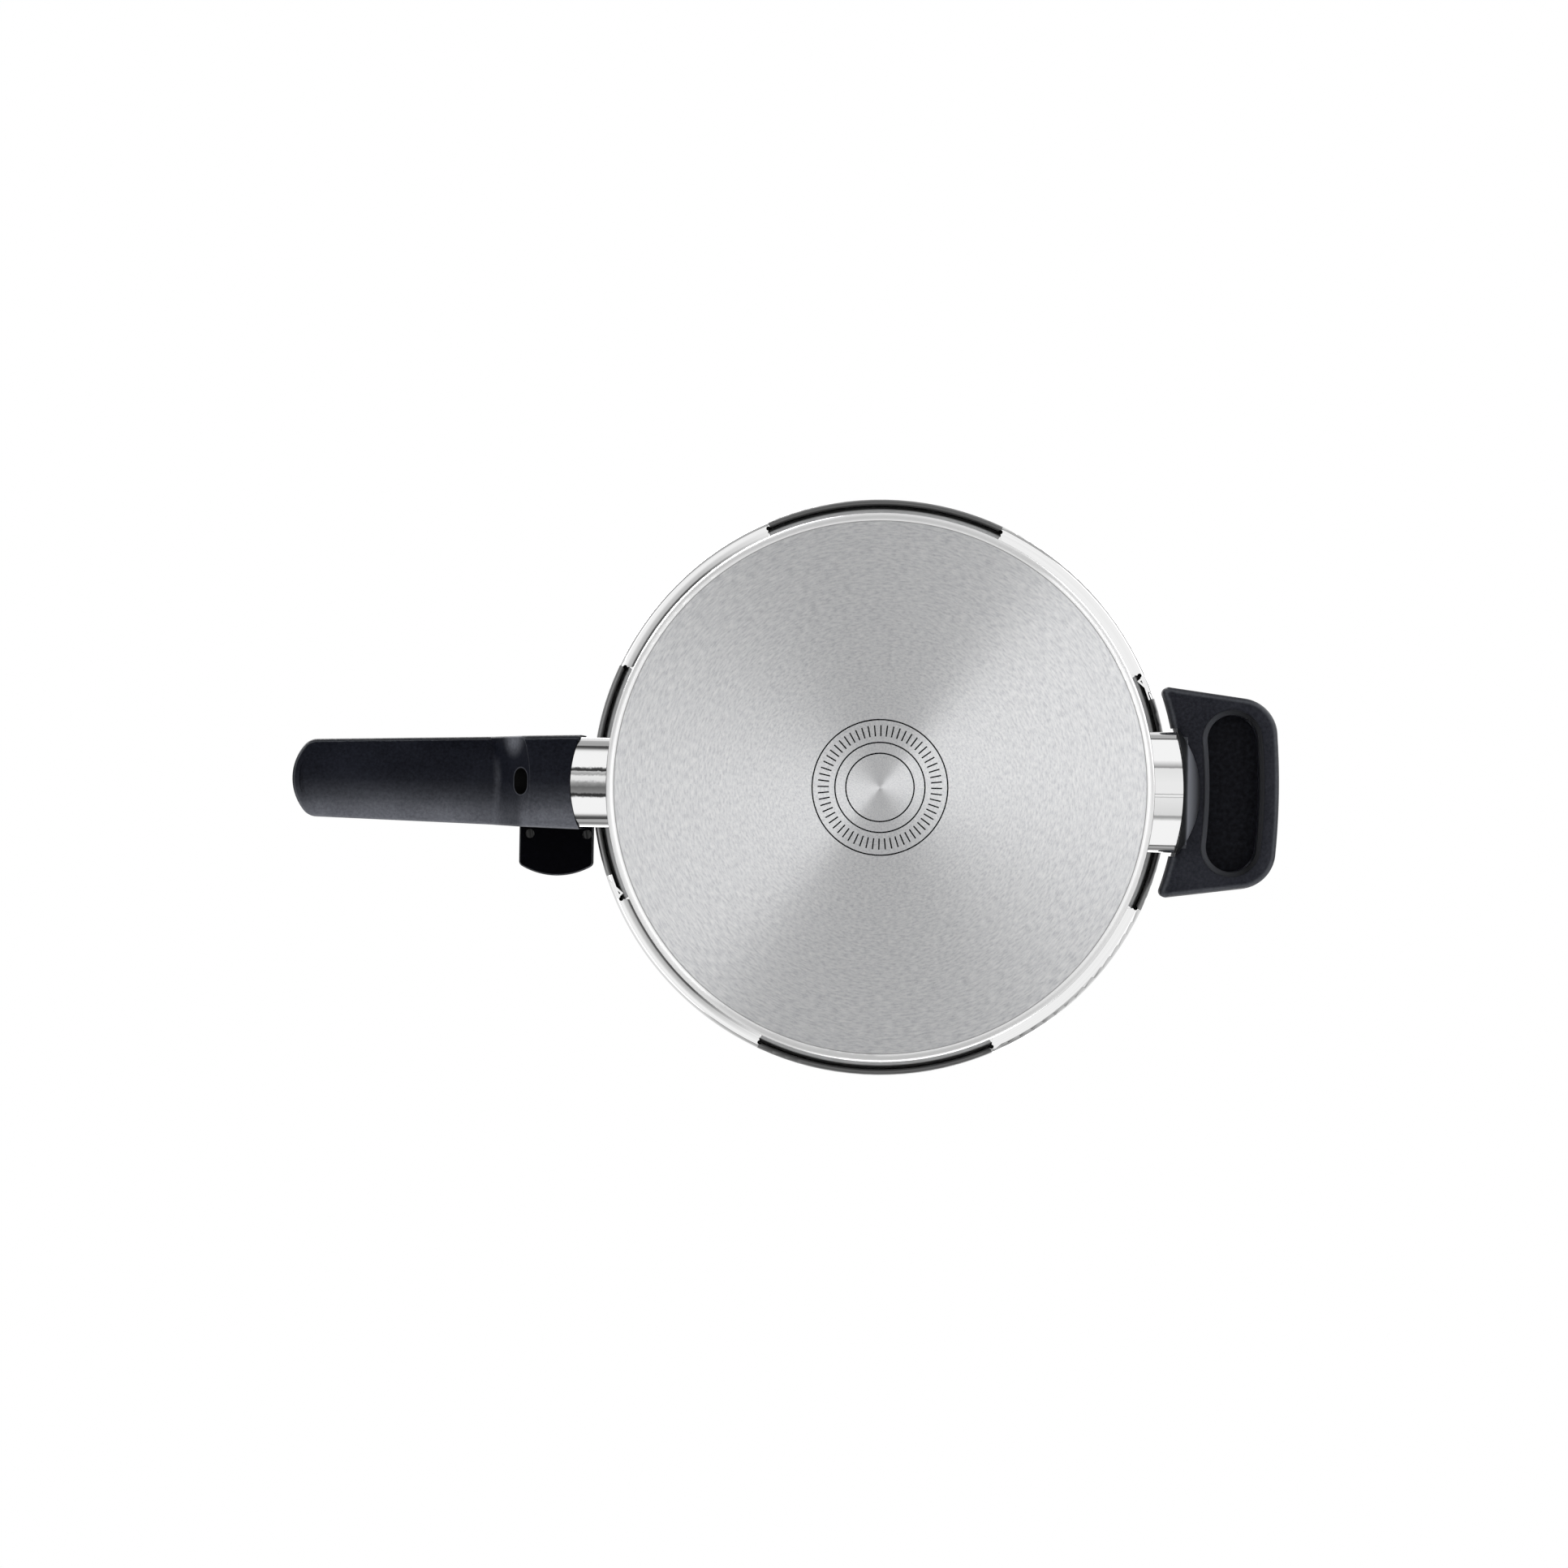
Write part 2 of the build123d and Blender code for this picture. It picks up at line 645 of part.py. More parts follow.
# Helper handle guard: a bright sheet sleeve like the other one, wider and lower
helper_guard_top = rim_z - helper_guard_top_drop
helper_guard_radius = bow_radius(helper_guard_half, helper_guard_bow)
helper_guard_bottom = helper_guard_top - helper_guard_depth
with BuildPart() as side_handle_guard:
    sleeve_run = helper_guard_end - inside_wall
    sleeve = crowned_section(
        inside_wall,
        helper_guard_half,
        helper_guard_top,
        helper_guard_depth,
        helper_guard_crown,
        guard_top_corner,
        helper_guard_shoulder,
    )
    extrude(sleeve, amount=sleeve_run)
    with BuildSketch(Plane.YZ.offset(inside_wall)):
        with Locations((0, helper_guard_bottom + guard_channel_depth)):
            channel_size = (2 * helper_channel_half, channel_overcut, helper_channel_slope)
            Trapezoid(*channel_size, align=(Align.CENTER, Align.MAX), rotation=180)
    extrude(amount=sleeve_run, mode=Mode.SUBTRACT)
    inner_half = helper_guard_half - guard_sheet
    inner_top = helper_guard_top - guard_sheet
    inner_depth = helper_guard_depth - 2 * guard_sheet - guard_channel_depth
    inner_corner = guard_top_corner - guard_sheet
    inner_shoulder = helper_guard_shoulder - guard_sheet
    hollow = crowned_section(
        inside_wall, inner_half, inner_top, inner_depth, helper_guard_crown, inner_corner, inner_shoulder
    )
    extrude(hollow, amount=sleeve_run, mode=Mode.SUBTRACT)
    with BuildSketch(Plane.XY.offset(helper_guard_bottom - overshoot)):
        with Locations((helper_guard_end - helper_guard_radius, 0)):
            Circle(helper_guard_radius)
    extrude(amount=helper_guard_depth + 2 * overshoot, mode=Mode.INTERSECT)
    revolve(pot_envelope(weld_gap), axis=Axis.Z, mode=Mode.SUBTRACT)
    split(bisect_by=Plane.YZ, keep=Keep.TOP)
side_handle_guard.part.label = "side_handle_guard"
export_step(side_handle_guard.part, "parts/side_handle_guard.step")

# Helper handle bracket: a pad welded to the wall with a flat tongue that the handle slides onto
tongue_top = helper_top - tongue_drop
with BuildPart() as side_handle_bracket:
    pad_x = (inside_wall, wall_radius(helper_top) + bracket_sheet)
    pad_z = (helper_guard_bottom + helper_pad_inset, helper_guard_top - helper_pad_inset)
    add(block(pad_x, (-helper_pad_half, helper_pad_half), pad_z))
    tongue_z = (tongue_top - tongue_sheet, tongue_top)
    add(block((inside_wall, tongue_end), (-tongue_half, tongue_half), tongue_z))
    with Locations((helper_screw_at, 0, tongue_top)):
        Cylinder(helper_screw_radius + thread_fit, helper_depth, mode=Mode.SUBTRACT)
    revolve(pot_envelope(weld_gap), axis=Axis.Z, mode=Mode.SUBTRACT)
    split(bisect_by=Plane.YZ, keep=Keep.TOP)
side_handle_bracket.part.label = "side_handle_bracket"
export_step(side_handle_bracket.part, "parts/side_handle_bracket.step")

# Boss of the helper handle, which is added to the grip: it closes the guard's end and plugs into it
helper_boss_radius = bow_radius(helper_boss_half, helper_boss_bow)
helper_boss_end = helper_guard_end + helper_boss_reach
with BuildPart() as helper_boss:
    boss_x = helper_boss_end - helper_boss_radius
    boss_low = helper_guard_bottom - 1
    boss_high = helper_top - 4
    boss_points = [
        (boss_x, boss_low),
        (helper_boss_end, boss_low),
        (helper_boss_end, boss_high),
        (boss_x, boss_high),
    ]
    revolve(turned_profile(boss_points, [0, helper_boss_edge, 0, 0]), axis=Axis((boss_x, 0, 0), (0, 0, 1)))
    with BuildSketch(Plane.XY.offset(boss_low)):
        with Locations((helper_boss_end, 0)):
            Rectangle(2 * helper_boss_bow, 2 * helper_boss_half)
        with Locations((helper_guard_end - helper_guard_radius, 0)):
            Circle(helper_guard_radius + fit_gap, mode=Mode.SUBTRACT)
    extrude(amount=boss_high - boss_low, mode=Mode.INTERSECT)

# Helper handle: moulded grip with a blind finger pocket underneath and a rounded boss against the guard
with BuildPart() as side_handle:
    with BuildSketch(Plane.XY.offset(helper_bottom)) as helper_plan:
        with BuildLine():
            tip = (helper_inner_radius**2 - helper_tip_half**2) ** 0.5
            corner = helper_outer - helper_bow
            Line((tip, -helper_tip_half), (corner, -helper_corner_half))
            ThreePointArc((corner, -helper_corner_half), (helper_outer, 0), (corner, helper_corner_half))
            Line((corner, helper_corner_half), (tip, helper_tip_half))
            ThreePointArc((tip, helper_tip_half), (helper_inner_radius, 0), (tip, -helper_tip_half))
        make_face()
        fillet(helper_plan.vertices().sort_by(Axis.X)[2:], helper_corner)
        fillet(helper_plan.vertices().sort_by(Axis.X)[:2], 2.5)
    extrude(amount=helper_depth)
    fillet(side_handle.faces().sort_by(Axis.Z)[0].edges(), helper_edge)
    fillet(side_handle.faces().sort_by(Axis.Z)[-1].edges(), helper_edge)
    bend_centre = (pocket_centre - pocket_bend, 0)
    pocket_span = 2 * pocket_half_angle
    pocket_arc = CenterArc(bend_centre, pocket_bend, -pocket_half_angle, pocket_span, mode=Mode.PRIVATE)
    with BuildSketch(Plane.XY.offset(helper_bottom - pocket_rim_height)):
        SlotArc(pocket_arc, pocket_width + 2 * pocket_rim)
    extrude(amount=pocket_rim_height + 1)
    fillet(side_handle.faces().sort_by(Axis.Z)[0].edges(), pocket_rim_height * 0.8)
    with BuildSketch(Plane.XY.offset(helper_bottom - pocket_rim_height)):
        SlotArc(pocket_arc, pocket_width)
    extrude(amount=pocket_rim_height + pocket_depth, mode=Mode.SUBTRACT)
    fillet(side_handle.faces().sort_by(Axis.Z)[0].edges(), 0.6)
    with BuildSketch(Plane.XY.offset(helper_guard_bottom - overshoot)):
        with Locations((helper_guard_end - helper_guard_radius, 0)):
            Circle(helper_guard_radius + fit_gap)
        Rectangle(large, 2 * helper_boss_half, mode=Mode.INTERSECT)
    extrude(amount=large / 4, mode=Mode.SUBTRACT)
    add(helper_boss.part)
    plug_half = helper_guard_half - guard_sheet - fit_gap
    plug_top = helper_guard_top - guard_sheet - fit_gap
    plug_depth = helper_guard_depth - 2 * guard_sheet - guard_channel_depth - 2 * fit_gap
    plug_start = helper_guard_end - handle_plug
    plug_corner = guard_top_corner - guard_sheet - fit_gap
    plug_shoulder = helper_guard_shoulder - guard_sheet - fit_gap
    plug = crowned_section(
        plug_start, plug_half, plug_top, plug_depth, helper_guard_crown, plug_corner, plug_shoulder
    )
    extrude(plug, amount=handle_plug + 2)
    tongue_space = tongue_half + fit_gap
    add(
        block(
            (plug_start - 1, tongue_end + 0.5),
            (-tongue_space, tongue_space),
            (tongue_top - tongue_sheet - 0.2, tongue_top + 0.2),
        ),
        mode=Mode.SUBTRACT,
    )
    with Locations((helper_screw_at, 0, helper_top)):
        CounterBoreHole(
            helper_screw_radius + hole_clearance,
            helper_screw_head + head_clearance,
            helper_screw_seat,
            depth=helper_depth - pocket_depth - 1,
        )
side_handle.part.label = "side_handle"
export_step(side_handle.part, "parts/side_handle.step")

# Helper handle screw: down through the handle into the tongue
with BuildPart() as side_handle_screw:
    with Locations((helper_screw_at, 0, helper_top - helper_screw_seat)):
        Cylinder(helper_screw_radius, helper_screw_length, align=from_top)
        Cylinder(helper_screw_head, helper_screw_head_height, align=from_base)
    fillet(side_handle_screw.faces().sort_by(Axis.Z)[-1].edges(), 0.6)
    with BuildSketch(Plane.XY.offset(helper_top - helper_screw_seat + helper_screw_head_height)):
        with Locations((helper_screw_at, 0)):
            Rectangle(cross_length, cross_width)
            Rectangle(cross_width, cross_length)
    extrude(amount=-cross_depth, mode=Mode.SUBTRACT)
side_handle_screw.part.label = "side_handle_screw"
export_step(side_handle_screw.part, "parts/side_handle_screw.step")

# Lid shell: pressed lid with a gasket channel, a skirt with four claws and two lanced stops
with BuildPart() as lid_shell:
    skirt_path = lid_path(0) + [(skirt_radius, claw_bottom), (claw_inner_radius, claw_bottom)]
    lid_bends = [dome_bend, valley_bend, channel_inner_bend, channel_outer_bend, skirt_bend]
    revolve(sheet_profile(skirt_path, lid_bends, lid_sheet), axis=Axis.Z)
    window_outer = 180 / bayonet_count - claw_half_outer
    window_inner = 180 / bayonet_count - claw_half_inner
    with BuildSketch(mode=Mode.PRIVATE) as window:
        with BuildLine():
            window_ends = (polar(hem_radius, -window_outer), polar(hem_radius, window_outer))
            ThreePointArc(window_ends[0], (hem_radius, 0), window_ends[1])
            Polyline(
                window_ends[1],
                polar(claw_inner_radius, window_inner),
                (0, 0),
                polar(claw_inner_radius, -window_inner),
                window_ends[0],
            )
        make_face()
        with Locations(*window_ends):
            Circle(claw_relief)
    with BuildSketch(Plane.XY.offset(claw_bottom - 1)):
        with PolarLocations(0, bayonet_count):
            add(window.sketch)
    extrude(amount=lid_sheet + 1.4, mode=Mode.SUBTRACT)
    claw_ends = lid_shell.edges().filter_by(Axis.Z).filter_by(lambda edge: edge.length < 2 * lid_sheet)
    fillet(claw_ends.filter_by(lambda edge: axis_distance(edge) < claw_inner_radius + 1), claw_corner)
    stop_root = skirt_inner_radius + lid_sheet / 3
    with BuildSketch(Plane.XY.offset(claw_bottom)):
        with PolarLocations(0, 2):
            stop_tip = polar(stop_radius, stop_start + 0.6)
            Polygon(polar(stop_root, stop_start), polar(stop_root, stop_end), stop_tip, align=None)
        offset(amount=-stop_sheet, kind=Kind.INTERSECTION, mode=Mode.SUBTRACT)
    extrude(amount=rim_z - claw_bottom)
    with Locations((0, 0, lid_top)):
        Hole(valve_thread_radius + hole_clearance, 3 * lid_sheet)
    with Locations((safety_x, safety_y, lid_top)):
        Hole(safety_thread_radius + hole_clearance, 3 * lid_sheet)
    with Locations((-lid_screw_x, lid_screw_y, lid_top), (-lid_screw_x, -lid_screw_y, lid_top)):
        Hole(lid_screw_radius + hole_clearance, 3 * lid_sheet)
lid_shell.part.label = "lid_shell"
export_step(lid_shell.part, "parts/lid_shell.step")

# Gasket: moulded ring in the channel, with small notches round its outer edge
with BuildPart() as gasket:
    gasket_top = channel_top - lid_sheet
    gasket_bottom = rim_z + gasket_gap
    gasket_points = [
        (gasket_inner_radius, gasket_bottom),
        (gasket_radius, gasket_bottom),
        (skirt_inner_radius - gasket_play, gasket_bottom + gasket_foot),
        (skirt_inner_radius - gasket_play, gasket_top),
        (gasket_inner_radius + 1.5, gasket_top),
    ]
    revolve(turned_profile(gasket_points, [1.5, 0.8, 0.5, 5.0, 1.5]), axis=Axis.Z)
    with PolarLocations(gasket_radius, gasket_notch_count, start_angle=gasket_notch_start):
        Cylinder(gasket_notch_radius, 2 * (gasket_bottom - rim_z + 2.4), mode=Mode.SUBTRACT)
gasket.part.label = "gasket"
export_step(gasket.part, "parts/gasket.step")

# Lid handle base: moulded lower shell on the lid, with a ledge at one side and the space for the lock
lid_handle_outline = long_handle_plan(
    lid_handle_root,
    lid_handle_root_half,
    lid_handle_end,
    lid_handle_end_half,
    handle_end_bow,
    handle_end_corner,
)


def lid_handle_plan():
    """Outline of the whole lid handle: the grip outside the lid and a tongue that narrows over the lid."""
    with BuildSketch() as plan:
        add(lid_handle_outline)
        with BuildLine():
            Polyline(
                (-lid_handle_root, lid_handle_root_half),
                (-lid_handle_root + lid_handle_root_run, lid_handle_root_half),
                (-lid_handle_tip, lid_handle_tip_half),
                (-lid_handle_tip, -lid_handle_tip_half),
                (-lid_handle_root + lid_handle_root_run, -lid_handle_root_half),
                (-lid_handle_root, -lid_handle_root_half),
                close=True,
            )
        make_face()
        fillet(plan.vertices().group_by(Axis.X)[-1], lid_handle_tip_corner)
    return plan.sketch


def ledge_plan(inset):
    """Outline of the side ledge, with a bowed outer edge."""
    with BuildSketch() as plan:
        with BuildLine():
            left = -ledge_outer + inset
            right = -ledge_inner - inset
            edge = ledge_reach - ledge_bow - inset
            Polyline((left, edge), (left, 0), (right, 0), (right, edge))
            ThreePointArc((left, edge), ((left + right) / 2, ledge_reach - inset), (right, edge))
        make_face()
        fillet(plan.vertices().group_by(Axis.Y)[-1], 2.5)
    return plan.sketch


bolt_cavity_start = slider_neck_centre + slider_neck_length / 2 + 3
bolt_cavity_end = bolt_x - bolt_head_half - 10
with BuildPart() as lid_handle_base:
    with BuildSketch(Plane.XY.offset(lid_handle_bottom)):
        add(lid_handle_plan())
    extrude(amount=lid_handle_height)
    fillet(lid_handle_base.faces().sort_by(Axis.Z)[0].edges(), 1.5)
    fillet(lid_handle_base.faces().sort_by(Axis.Z)[-1].edges(), seam_edge)
    with BuildSketch(Plane.XY.offset(lid_handle_bottom + tab_sheet)):
        add(ledge_plan(1.0))
    extrude(amount=ledge_rise - tab_sheet)
    ledge_edges = lid_handle_base.edges().filter_by(Plane.XY).filter_by(
        lambda edge: abs(edge.center().Z - lid_handle_bottom - ledge_rise) < 0.1
    )
    fillet(ledge_edges.filter_by(lambda edge: edge.center().Y > lid_handle_root_half + 1), 2.5)
    revolve(lid_envelope(lid_fit_gap), axis=Axis.Z, mode=Mode.SUBTRACT)
    add(
        block(
            (-bolt_cavity_start, -bolt_cavity_end),
            (-lock_half, lock_half),
            (lock_floor_z, lid_handle_top + 5),
        ),
        mode=Mode.SUBTRACT,
    )
    with Locations((-bolt_x, 0, lid_handle_bottom)):
        Cylinder(bolt_radius + bolt_fit, 4 * lock_floor, mode=Mode.SUBTRACT)
    with Locations((-lid_screw_x, lid_screw_y, lid_top), (-lid_screw_x, -lid_screw_y, lid_top)):
        Cylinder(lid_screw_radius + thread_fit, 2 * lid_screw_grip + 0.4, mode=Mode.SUBTRACT)
    with Locations(*[(-x, 0, lid_handle_bottom) for x in cover_screw_x]):
        Cylinder(cover_screw_head + head_clearance, 2 * cover_screw_seat, mode=Mode.SUBTRACT)
        Cylinder(cover_screw_radius + hole_clearance, 4 * lid_handle_height, mode=Mode.SUBTRACT)
    with Locations(*[(-x, tab_screw_y, lid_handle_bottom) for x in tab_screw_x]):
        Cylinder(tab_screw_radius + thread_fit, 2 * tab_screw_length + 0.4, mode=Mode.SUBTRACT)
lid_handle_base.part.label = "lid_handle_base"
export_step(lid_handle_base.part, "parts/lid_handle_base.step")

# Lid handle cover: upper shell that closes the lock's space, with the slider's slot and a small window
slot_half = slider_neck_half + slider_gap
slot_start = slider_neck_centre + slider_neck_length / 2 + slider_gap
slot_end = slider_neck_centre - slider_neck_length / 2 - slider_travel - slider_gap
cavity_start = bolt_cavity_start + 8
cavity_end = window_centre - slider_travel - 9
with BuildPart() as lid_handle_cover:
    with BuildSketch(Plane.XY.offset(lid_handle_top)):
        add(lid_handle_plan())
    extrude(amount=cover_height)
    with BuildSketch(Plane.XZ):
        with BuildLine():
            near = (-lid_handle_tip + 2, lid_handle_top + cover_end_height)
            far = (-lid_handle_end - 2, lid_handle_top + cover_end_height)
            crest = (-lid_handle_tip - cover_crest_reach, cover_top)
            brow = (-bolt_cavity_start - cover_brow_back, cover_top)
            FilletPolyline(near, crest, brow, far, radius=[cover_crest_bend, cover_brow_bend])
            Polyline(far, (far[0], cover_top + 9), (near[0], cover_top + 9), near)
        make_face()
    extrude(amount=3 * lid_handle_root_half, both=True, mode=Mode.SUBTRACT)
    seam_level = lid_handle_top + cover_end_height / 2
    upper_edges = lid_handle_cover.edges().filter_by(lambda edge: edge.center().Z > seam_level)
    fillet(upper_edges.filter_by(lambda edge: abs((edge % 0.5).Z) < 0.9), cover_edge)
    fillet(lid_handle_cover.faces().sort_by(Axis.Z)[0].edges(), seam_edge)
    cavity_y = (-lock_half, lock_half)
    add(block((-cavity_start, -cavity_end), cavity_y, (lid_handle_top - 1, lock_ceiling)), mode=Mode.SUBTRACT)
    slot_z = (lid_handle_top, cover_top + 5)
    add(block((-slot_start, -slot_end), (-slot_half, slot_half), slot_z), mode=Mode.SUBTRACT)
    window_x = (-window_centre - window_length / 2, -window_centre + window_length / 2)
    add(block(window_x, (-window_half, window_half), slot_z), mode=Mode.SUBTRACT)
    with Locations(*[(-x, 0, lid_handle_top) for x in cover_screw_x]):
        Cylinder(cover_screw_radius + thread_fit, 8, mode=Mode.SUBTRACT)
lid_handle_cover.part.label = "lid_handle_cover"
export_step(lid_handle_cover.part, "parts/lid_handle_cover.step")

# Cover screws: two, from under the lid handle
with BuildPart() as cover_screws:
    with Locations(*[(-x, 0, lid_handle_bottom + cover_screw_seat) for x in cover_screw_x]):
        Cylinder(cover_screw_radius, cover_screw_length, align=from_base)
        Cylinder(cover_screw_head, 2, align=from_top)
cover_screws.part.label = "cover_screws"
export_step(cover_screws.part, "parts/cover_screws.step")

# Lid handle screws: two, from inside the lid, each with its seal
lid_screw_places = [(-lid_screw_x, side * lid_screw_y, lid_under) for side in (-1, 1)]
with BuildPart() as lid_handle_seals:
    with Locations(*lid_screw_places):
        Cylinder(lid_seal_radius, lid_seal_sheet, align=from_top)
        Cylinder(lid_screw_radius + thread_fit, 3 * lid_seal_sheet, mode=Mode.SUBTRACT)
lid_handle_seals.part.label = "lid_handle_seals"
export_step(lid_handle_seals.part, "parts/lid_handle_seals.step")

with BuildPart() as lid_handle_screws:
    with Locations(*[(x, y, z - lid_seal_sheet) for x, y, z in lid_screw_places]):
        shank = lid_seal_sheet + lid_sheet + lid_screw_grip
        Cylinder(lid_screw_radius, shank, align=from_base)
        Cylinder(lid_screw_head, 2.4, align=from_top)
lid_handle_screws.part.label = "lid_handle_screws"
export_step(lid_handle_screws.part, "parts/lid_handle_screws.step")

# Side tab: a plate under the lid handle's ledge, held by two small screws
with BuildPart() as side_tab:
    with BuildSketch(Plane.XY.offset(lid_handle_bottom)):
        add(ledge_plan(0))
    extrude(amount=tab_sheet)
    split(bisect_by=Plane.XZ.offset(-lid_handle_root_half - fit_gap), keep=Keep.BOTTOM)
    fillet(side_tab.faces().sort_by(Axis.Z)[0].edges().sort_by(Axis.Y)[1:], 1.4)
    with Locations(*[(-x, tab_screw_y, lid_handle_bottom) for x in tab_screw_x]):
        Cylinder(tab_screw_head + head_clearance, 2 * tab_screw_seat, mode=Mode.SUBTRACT)
        Cylinder(tab_screw_radius + hole_clearance, 4 * tab_sheet, mode=Mode.SUBTRACT)
side_tab.part.label = "side_tab"
export_step(side_tab.part, "parts/side_tab.step")

with BuildPart() as side_tab_screws:
    with Locations(*[(-x, tab_screw_y, lid_handle_bottom + tab_screw_seat) for x in tab_screw_x]):
        shank = tab_screw_length - tab_screw_seat
        Cylinder(tab_screw_radius, shank, align=from_base)
        Cylinder(tab_screw_head, 1, align=from_top)
side_tab_screws.part.label = "side_tab_screws"
export_step(side_tab_screws.part, "parts/side_tab_screws.step")

# Lock slider: a ribbed thumb pad with a neck through the slot and a wedge that drives the bolt
wedge_top = lock_ceiling - slider_gap
wedge_front = bolt_x - bolt_head_half
wedge_back = bolt_x + bolt_head_half + slider_travel + 1
wedge_front_under = wedge_top - flag_sheet - 0.2
wedge_back_under = wedge_front_under - wedge_slope * (wedge_back - wedge_front)
neck_back = slider_neck_centre + slider_neck_length / 2
neck_front = slider_neck_centre - slider_neck_length / 2
pad_bottom = cover_top + slider_gap
with BuildPart() as lock_slider:
    with BuildSketch(Plane.XZ):
        with BuildLine():
            Polyline(
                (-wedge_front, wedge_top),
                (-wedge_front, wedge_front_under),
                (-wedge_back, wedge_back_under),
                (-neck_back, wedge_back_under),
                (-neck_back, wedge_top),
                close=True,
            )
        make_face()
    extrude(amount=bolt_head_width, both=True)
    neck_y = (-slider_neck_half, slider_neck_half)
    add(block((-neck_back, -neck_front), neck_y, (wedge_top - 1, pad_bottom + 1)))
    with BuildSketch(Plane.XY.offset(pad_bottom)):
        with Locations((-slider_neck_centre, 0)):
            RectangleRounded(slider_pad_length, 2 * slider_pad_half, 4)
    extrude(amount=slider_pad_height)
    fillet(lock_slider.faces().sort_by(Axis.Z)[-1].edges(), 1.2)
    with Locations((-slider_neck_centre, 0, pad_bottom + slider_pad_height + 0.4)):
        with GridLocations(3.2, 1, 5, 1):
            Cylinder(0.9, 4 * slider_pad_half, rotation=(90, 0, 0), mode=Mode.SUBTRACT)
lock_slider.part.label = "lock_slider"
export_step(lock_slider.part, "parts/lock_slider.step")

# Lock flag: a thin two-coloured plate on the slider's nose, seen through the cover's window
with BuildPart() as lock_flag:
    flag_x = (-wedge_front, -wedge_front + flag_length)
    add(block(flag_x, (-flag_half, flag_half), (wedge_top - flag_sheet, wedge_top)))
lock_flag.part.label = "lock_flag"
export_step(lock_flag.part, "parts/lock_flag.step")

# Lock bolt: a pin with a slanted head, pushed down into the pot handle's pocket by the wedge
bolt_head_front = wedge_front_under - wedge_gap
bolt_head_back = bolt_head_front - wedge_slope * 2 * bolt_head_half
bolt_head_under = bolt_head_back - 5.5
with BuildPart() as lock_bolt:
    with BuildSketch(Plane.XZ):
        with BuildLine():
            Polyline(
                (-bolt_x + bolt_head_half, bolt_head_front),
                (-bolt_x - bolt_head_half, bolt_head_back),
                (-bolt_x - bolt_head_half, bolt_head_under),
                (-bolt_x + bolt_head_half, bolt_head_under),
                close=True,
            )
        make_face()
    extrude(amount=bolt_head_width, both=True)
    bolt_bottom = lid_handle_bottom + 0.6
    with Locations((-bolt_x, 0, bolt_bottom)):
        Cylinder(bolt_radius, bolt_head_under - bolt_bottom + 1, align=from_base)
    chamfer(lock_bolt.faces().sort_by(Axis.Z)[0].edges(), 0.8)
lock_bolt.part.label = "lock_bolt"
export_step(lock_bolt.part, "parts/lock_bolt.step")


def coil(radius, wire, turns, low, high, x):
    """Compression spring between two heights, as one swept wire."""
    length = high - low - wire
    with BuildPart() as spring:
        with BuildLine() as path:
            Helix(length / turns, length, radius, center=(x, 0, low + wire / 2))
        with BuildSketch(Plane(origin=path.line @ 0, z_dir=path.line % 0)):
            Circle(wire / 2)
        sweep(is_frenet=True)
    return spring.part


# Bolt spring: lifts the bolt when the slider goes back
with BuildPart() as bolt_spring:
    spring_low = lock_floor_z + spring_gap
    spring_high = bolt_head_under - spring_gap
    add(coil(bolt_spring_radius, bolt_spring_wire, bolt_spring_turns, spring_low, spring_high, -bolt_x))
bolt_spring.part.label = "bolt_spring"
export_step(bolt_spring.part, "parts/bolt_spring.step")

# Regulating valve body: a turned sleeve through the middle of the lid
valve_bottom = lid_top - valve_thread_drop
valve_top = lid_top + valve_tube_rise
with BuildPart() as valve_body:
    body_points = [
        (valve_bore, valve_bottom),
        (valve_thread_radius, valve_bottom),
        (valve_thread_radius, lid_top),
        (valve_flange_radius, lid_top),
        (valve_flange_radius, lid_top + valve_flange),
        (valve_tube_radius, lid_top + valve_flange),
        (valve_tube_radius, valve_top),
        (valve_bore, valve_top),
    ]
    revolve(turned_profile(body_points, [0.4, 0.8, 0, 0.4, 0.6, 0.4, 0.6, 0.4]), axis=Axis.Z)
valve_body.part.label = "valve_body"
export_step(valve_body.part, "parts/valve_body.step")

# Valve washer and nut, under the lid
with BuildPart() as valve_washer_ring:
    with Locations((0, 0, lid_under)):
        Cylinder(valve_flange_radius, valve_washer, align=from_top)
        Cylinder(valve_thread_radius + thread_fit, 3 * valve_washer, mode=Mode.SUBTRACT)
valve_washer_ring.part.label = "valve_washer"
export_step(valve_washer_ring.part, "parts/valve_washer.step")

with BuildPart() as valve_nut:
    with BuildSketch(Plane.XY.offset(lid_under - valve_washer)):
        RegularPolygon(valve_nut_flats / 2, 6, major_radius=False)
        Circle(valve_thread_radius + thread_fit, mode=Mode.SUBTRACT)
    extrude(amount=-valve_nut_height)
    chamfer(valve_nut.faces().sort_by(Axis.Z)[0].outer_wire().edges(), 0.8)
valve_nut.part.label = "valve_nut"
export_step(valve_nut.part, "parts/valve_nut.step")

# Valve stem: rises through the cap as the pressure grows
cap_top_z = lid_top + cap_rise
stem_radius = valve_bore - valve_fit
collar_bottom = valve_top + 0.3
collar_top = collar_bottom + stem_collar
with BuildPart() as valve_stem:
    stem_points = [
        (0, valve_bottom + 1),
        (stem_radius, valve_bottom + 1),
        (stem_radius, collar_bottom),
        (stem_collar_radius, collar_bottom),
        (stem_collar_radius, collar_top),
        (stem_radius, collar_top),
        (stem_radius, cap_top_z + stem_proud),
        (0, cap_top_z + stem_proud),
    ]
    revolve(turned_profile(stem_points, [0, 1.5, 0, 0.4, 0.4, 0, 0.8, 0]), axis=Axis.Z)
valve_stem.part.label = "valve_stem"
export_step(valve_stem.part, "parts/valve_stem.step")

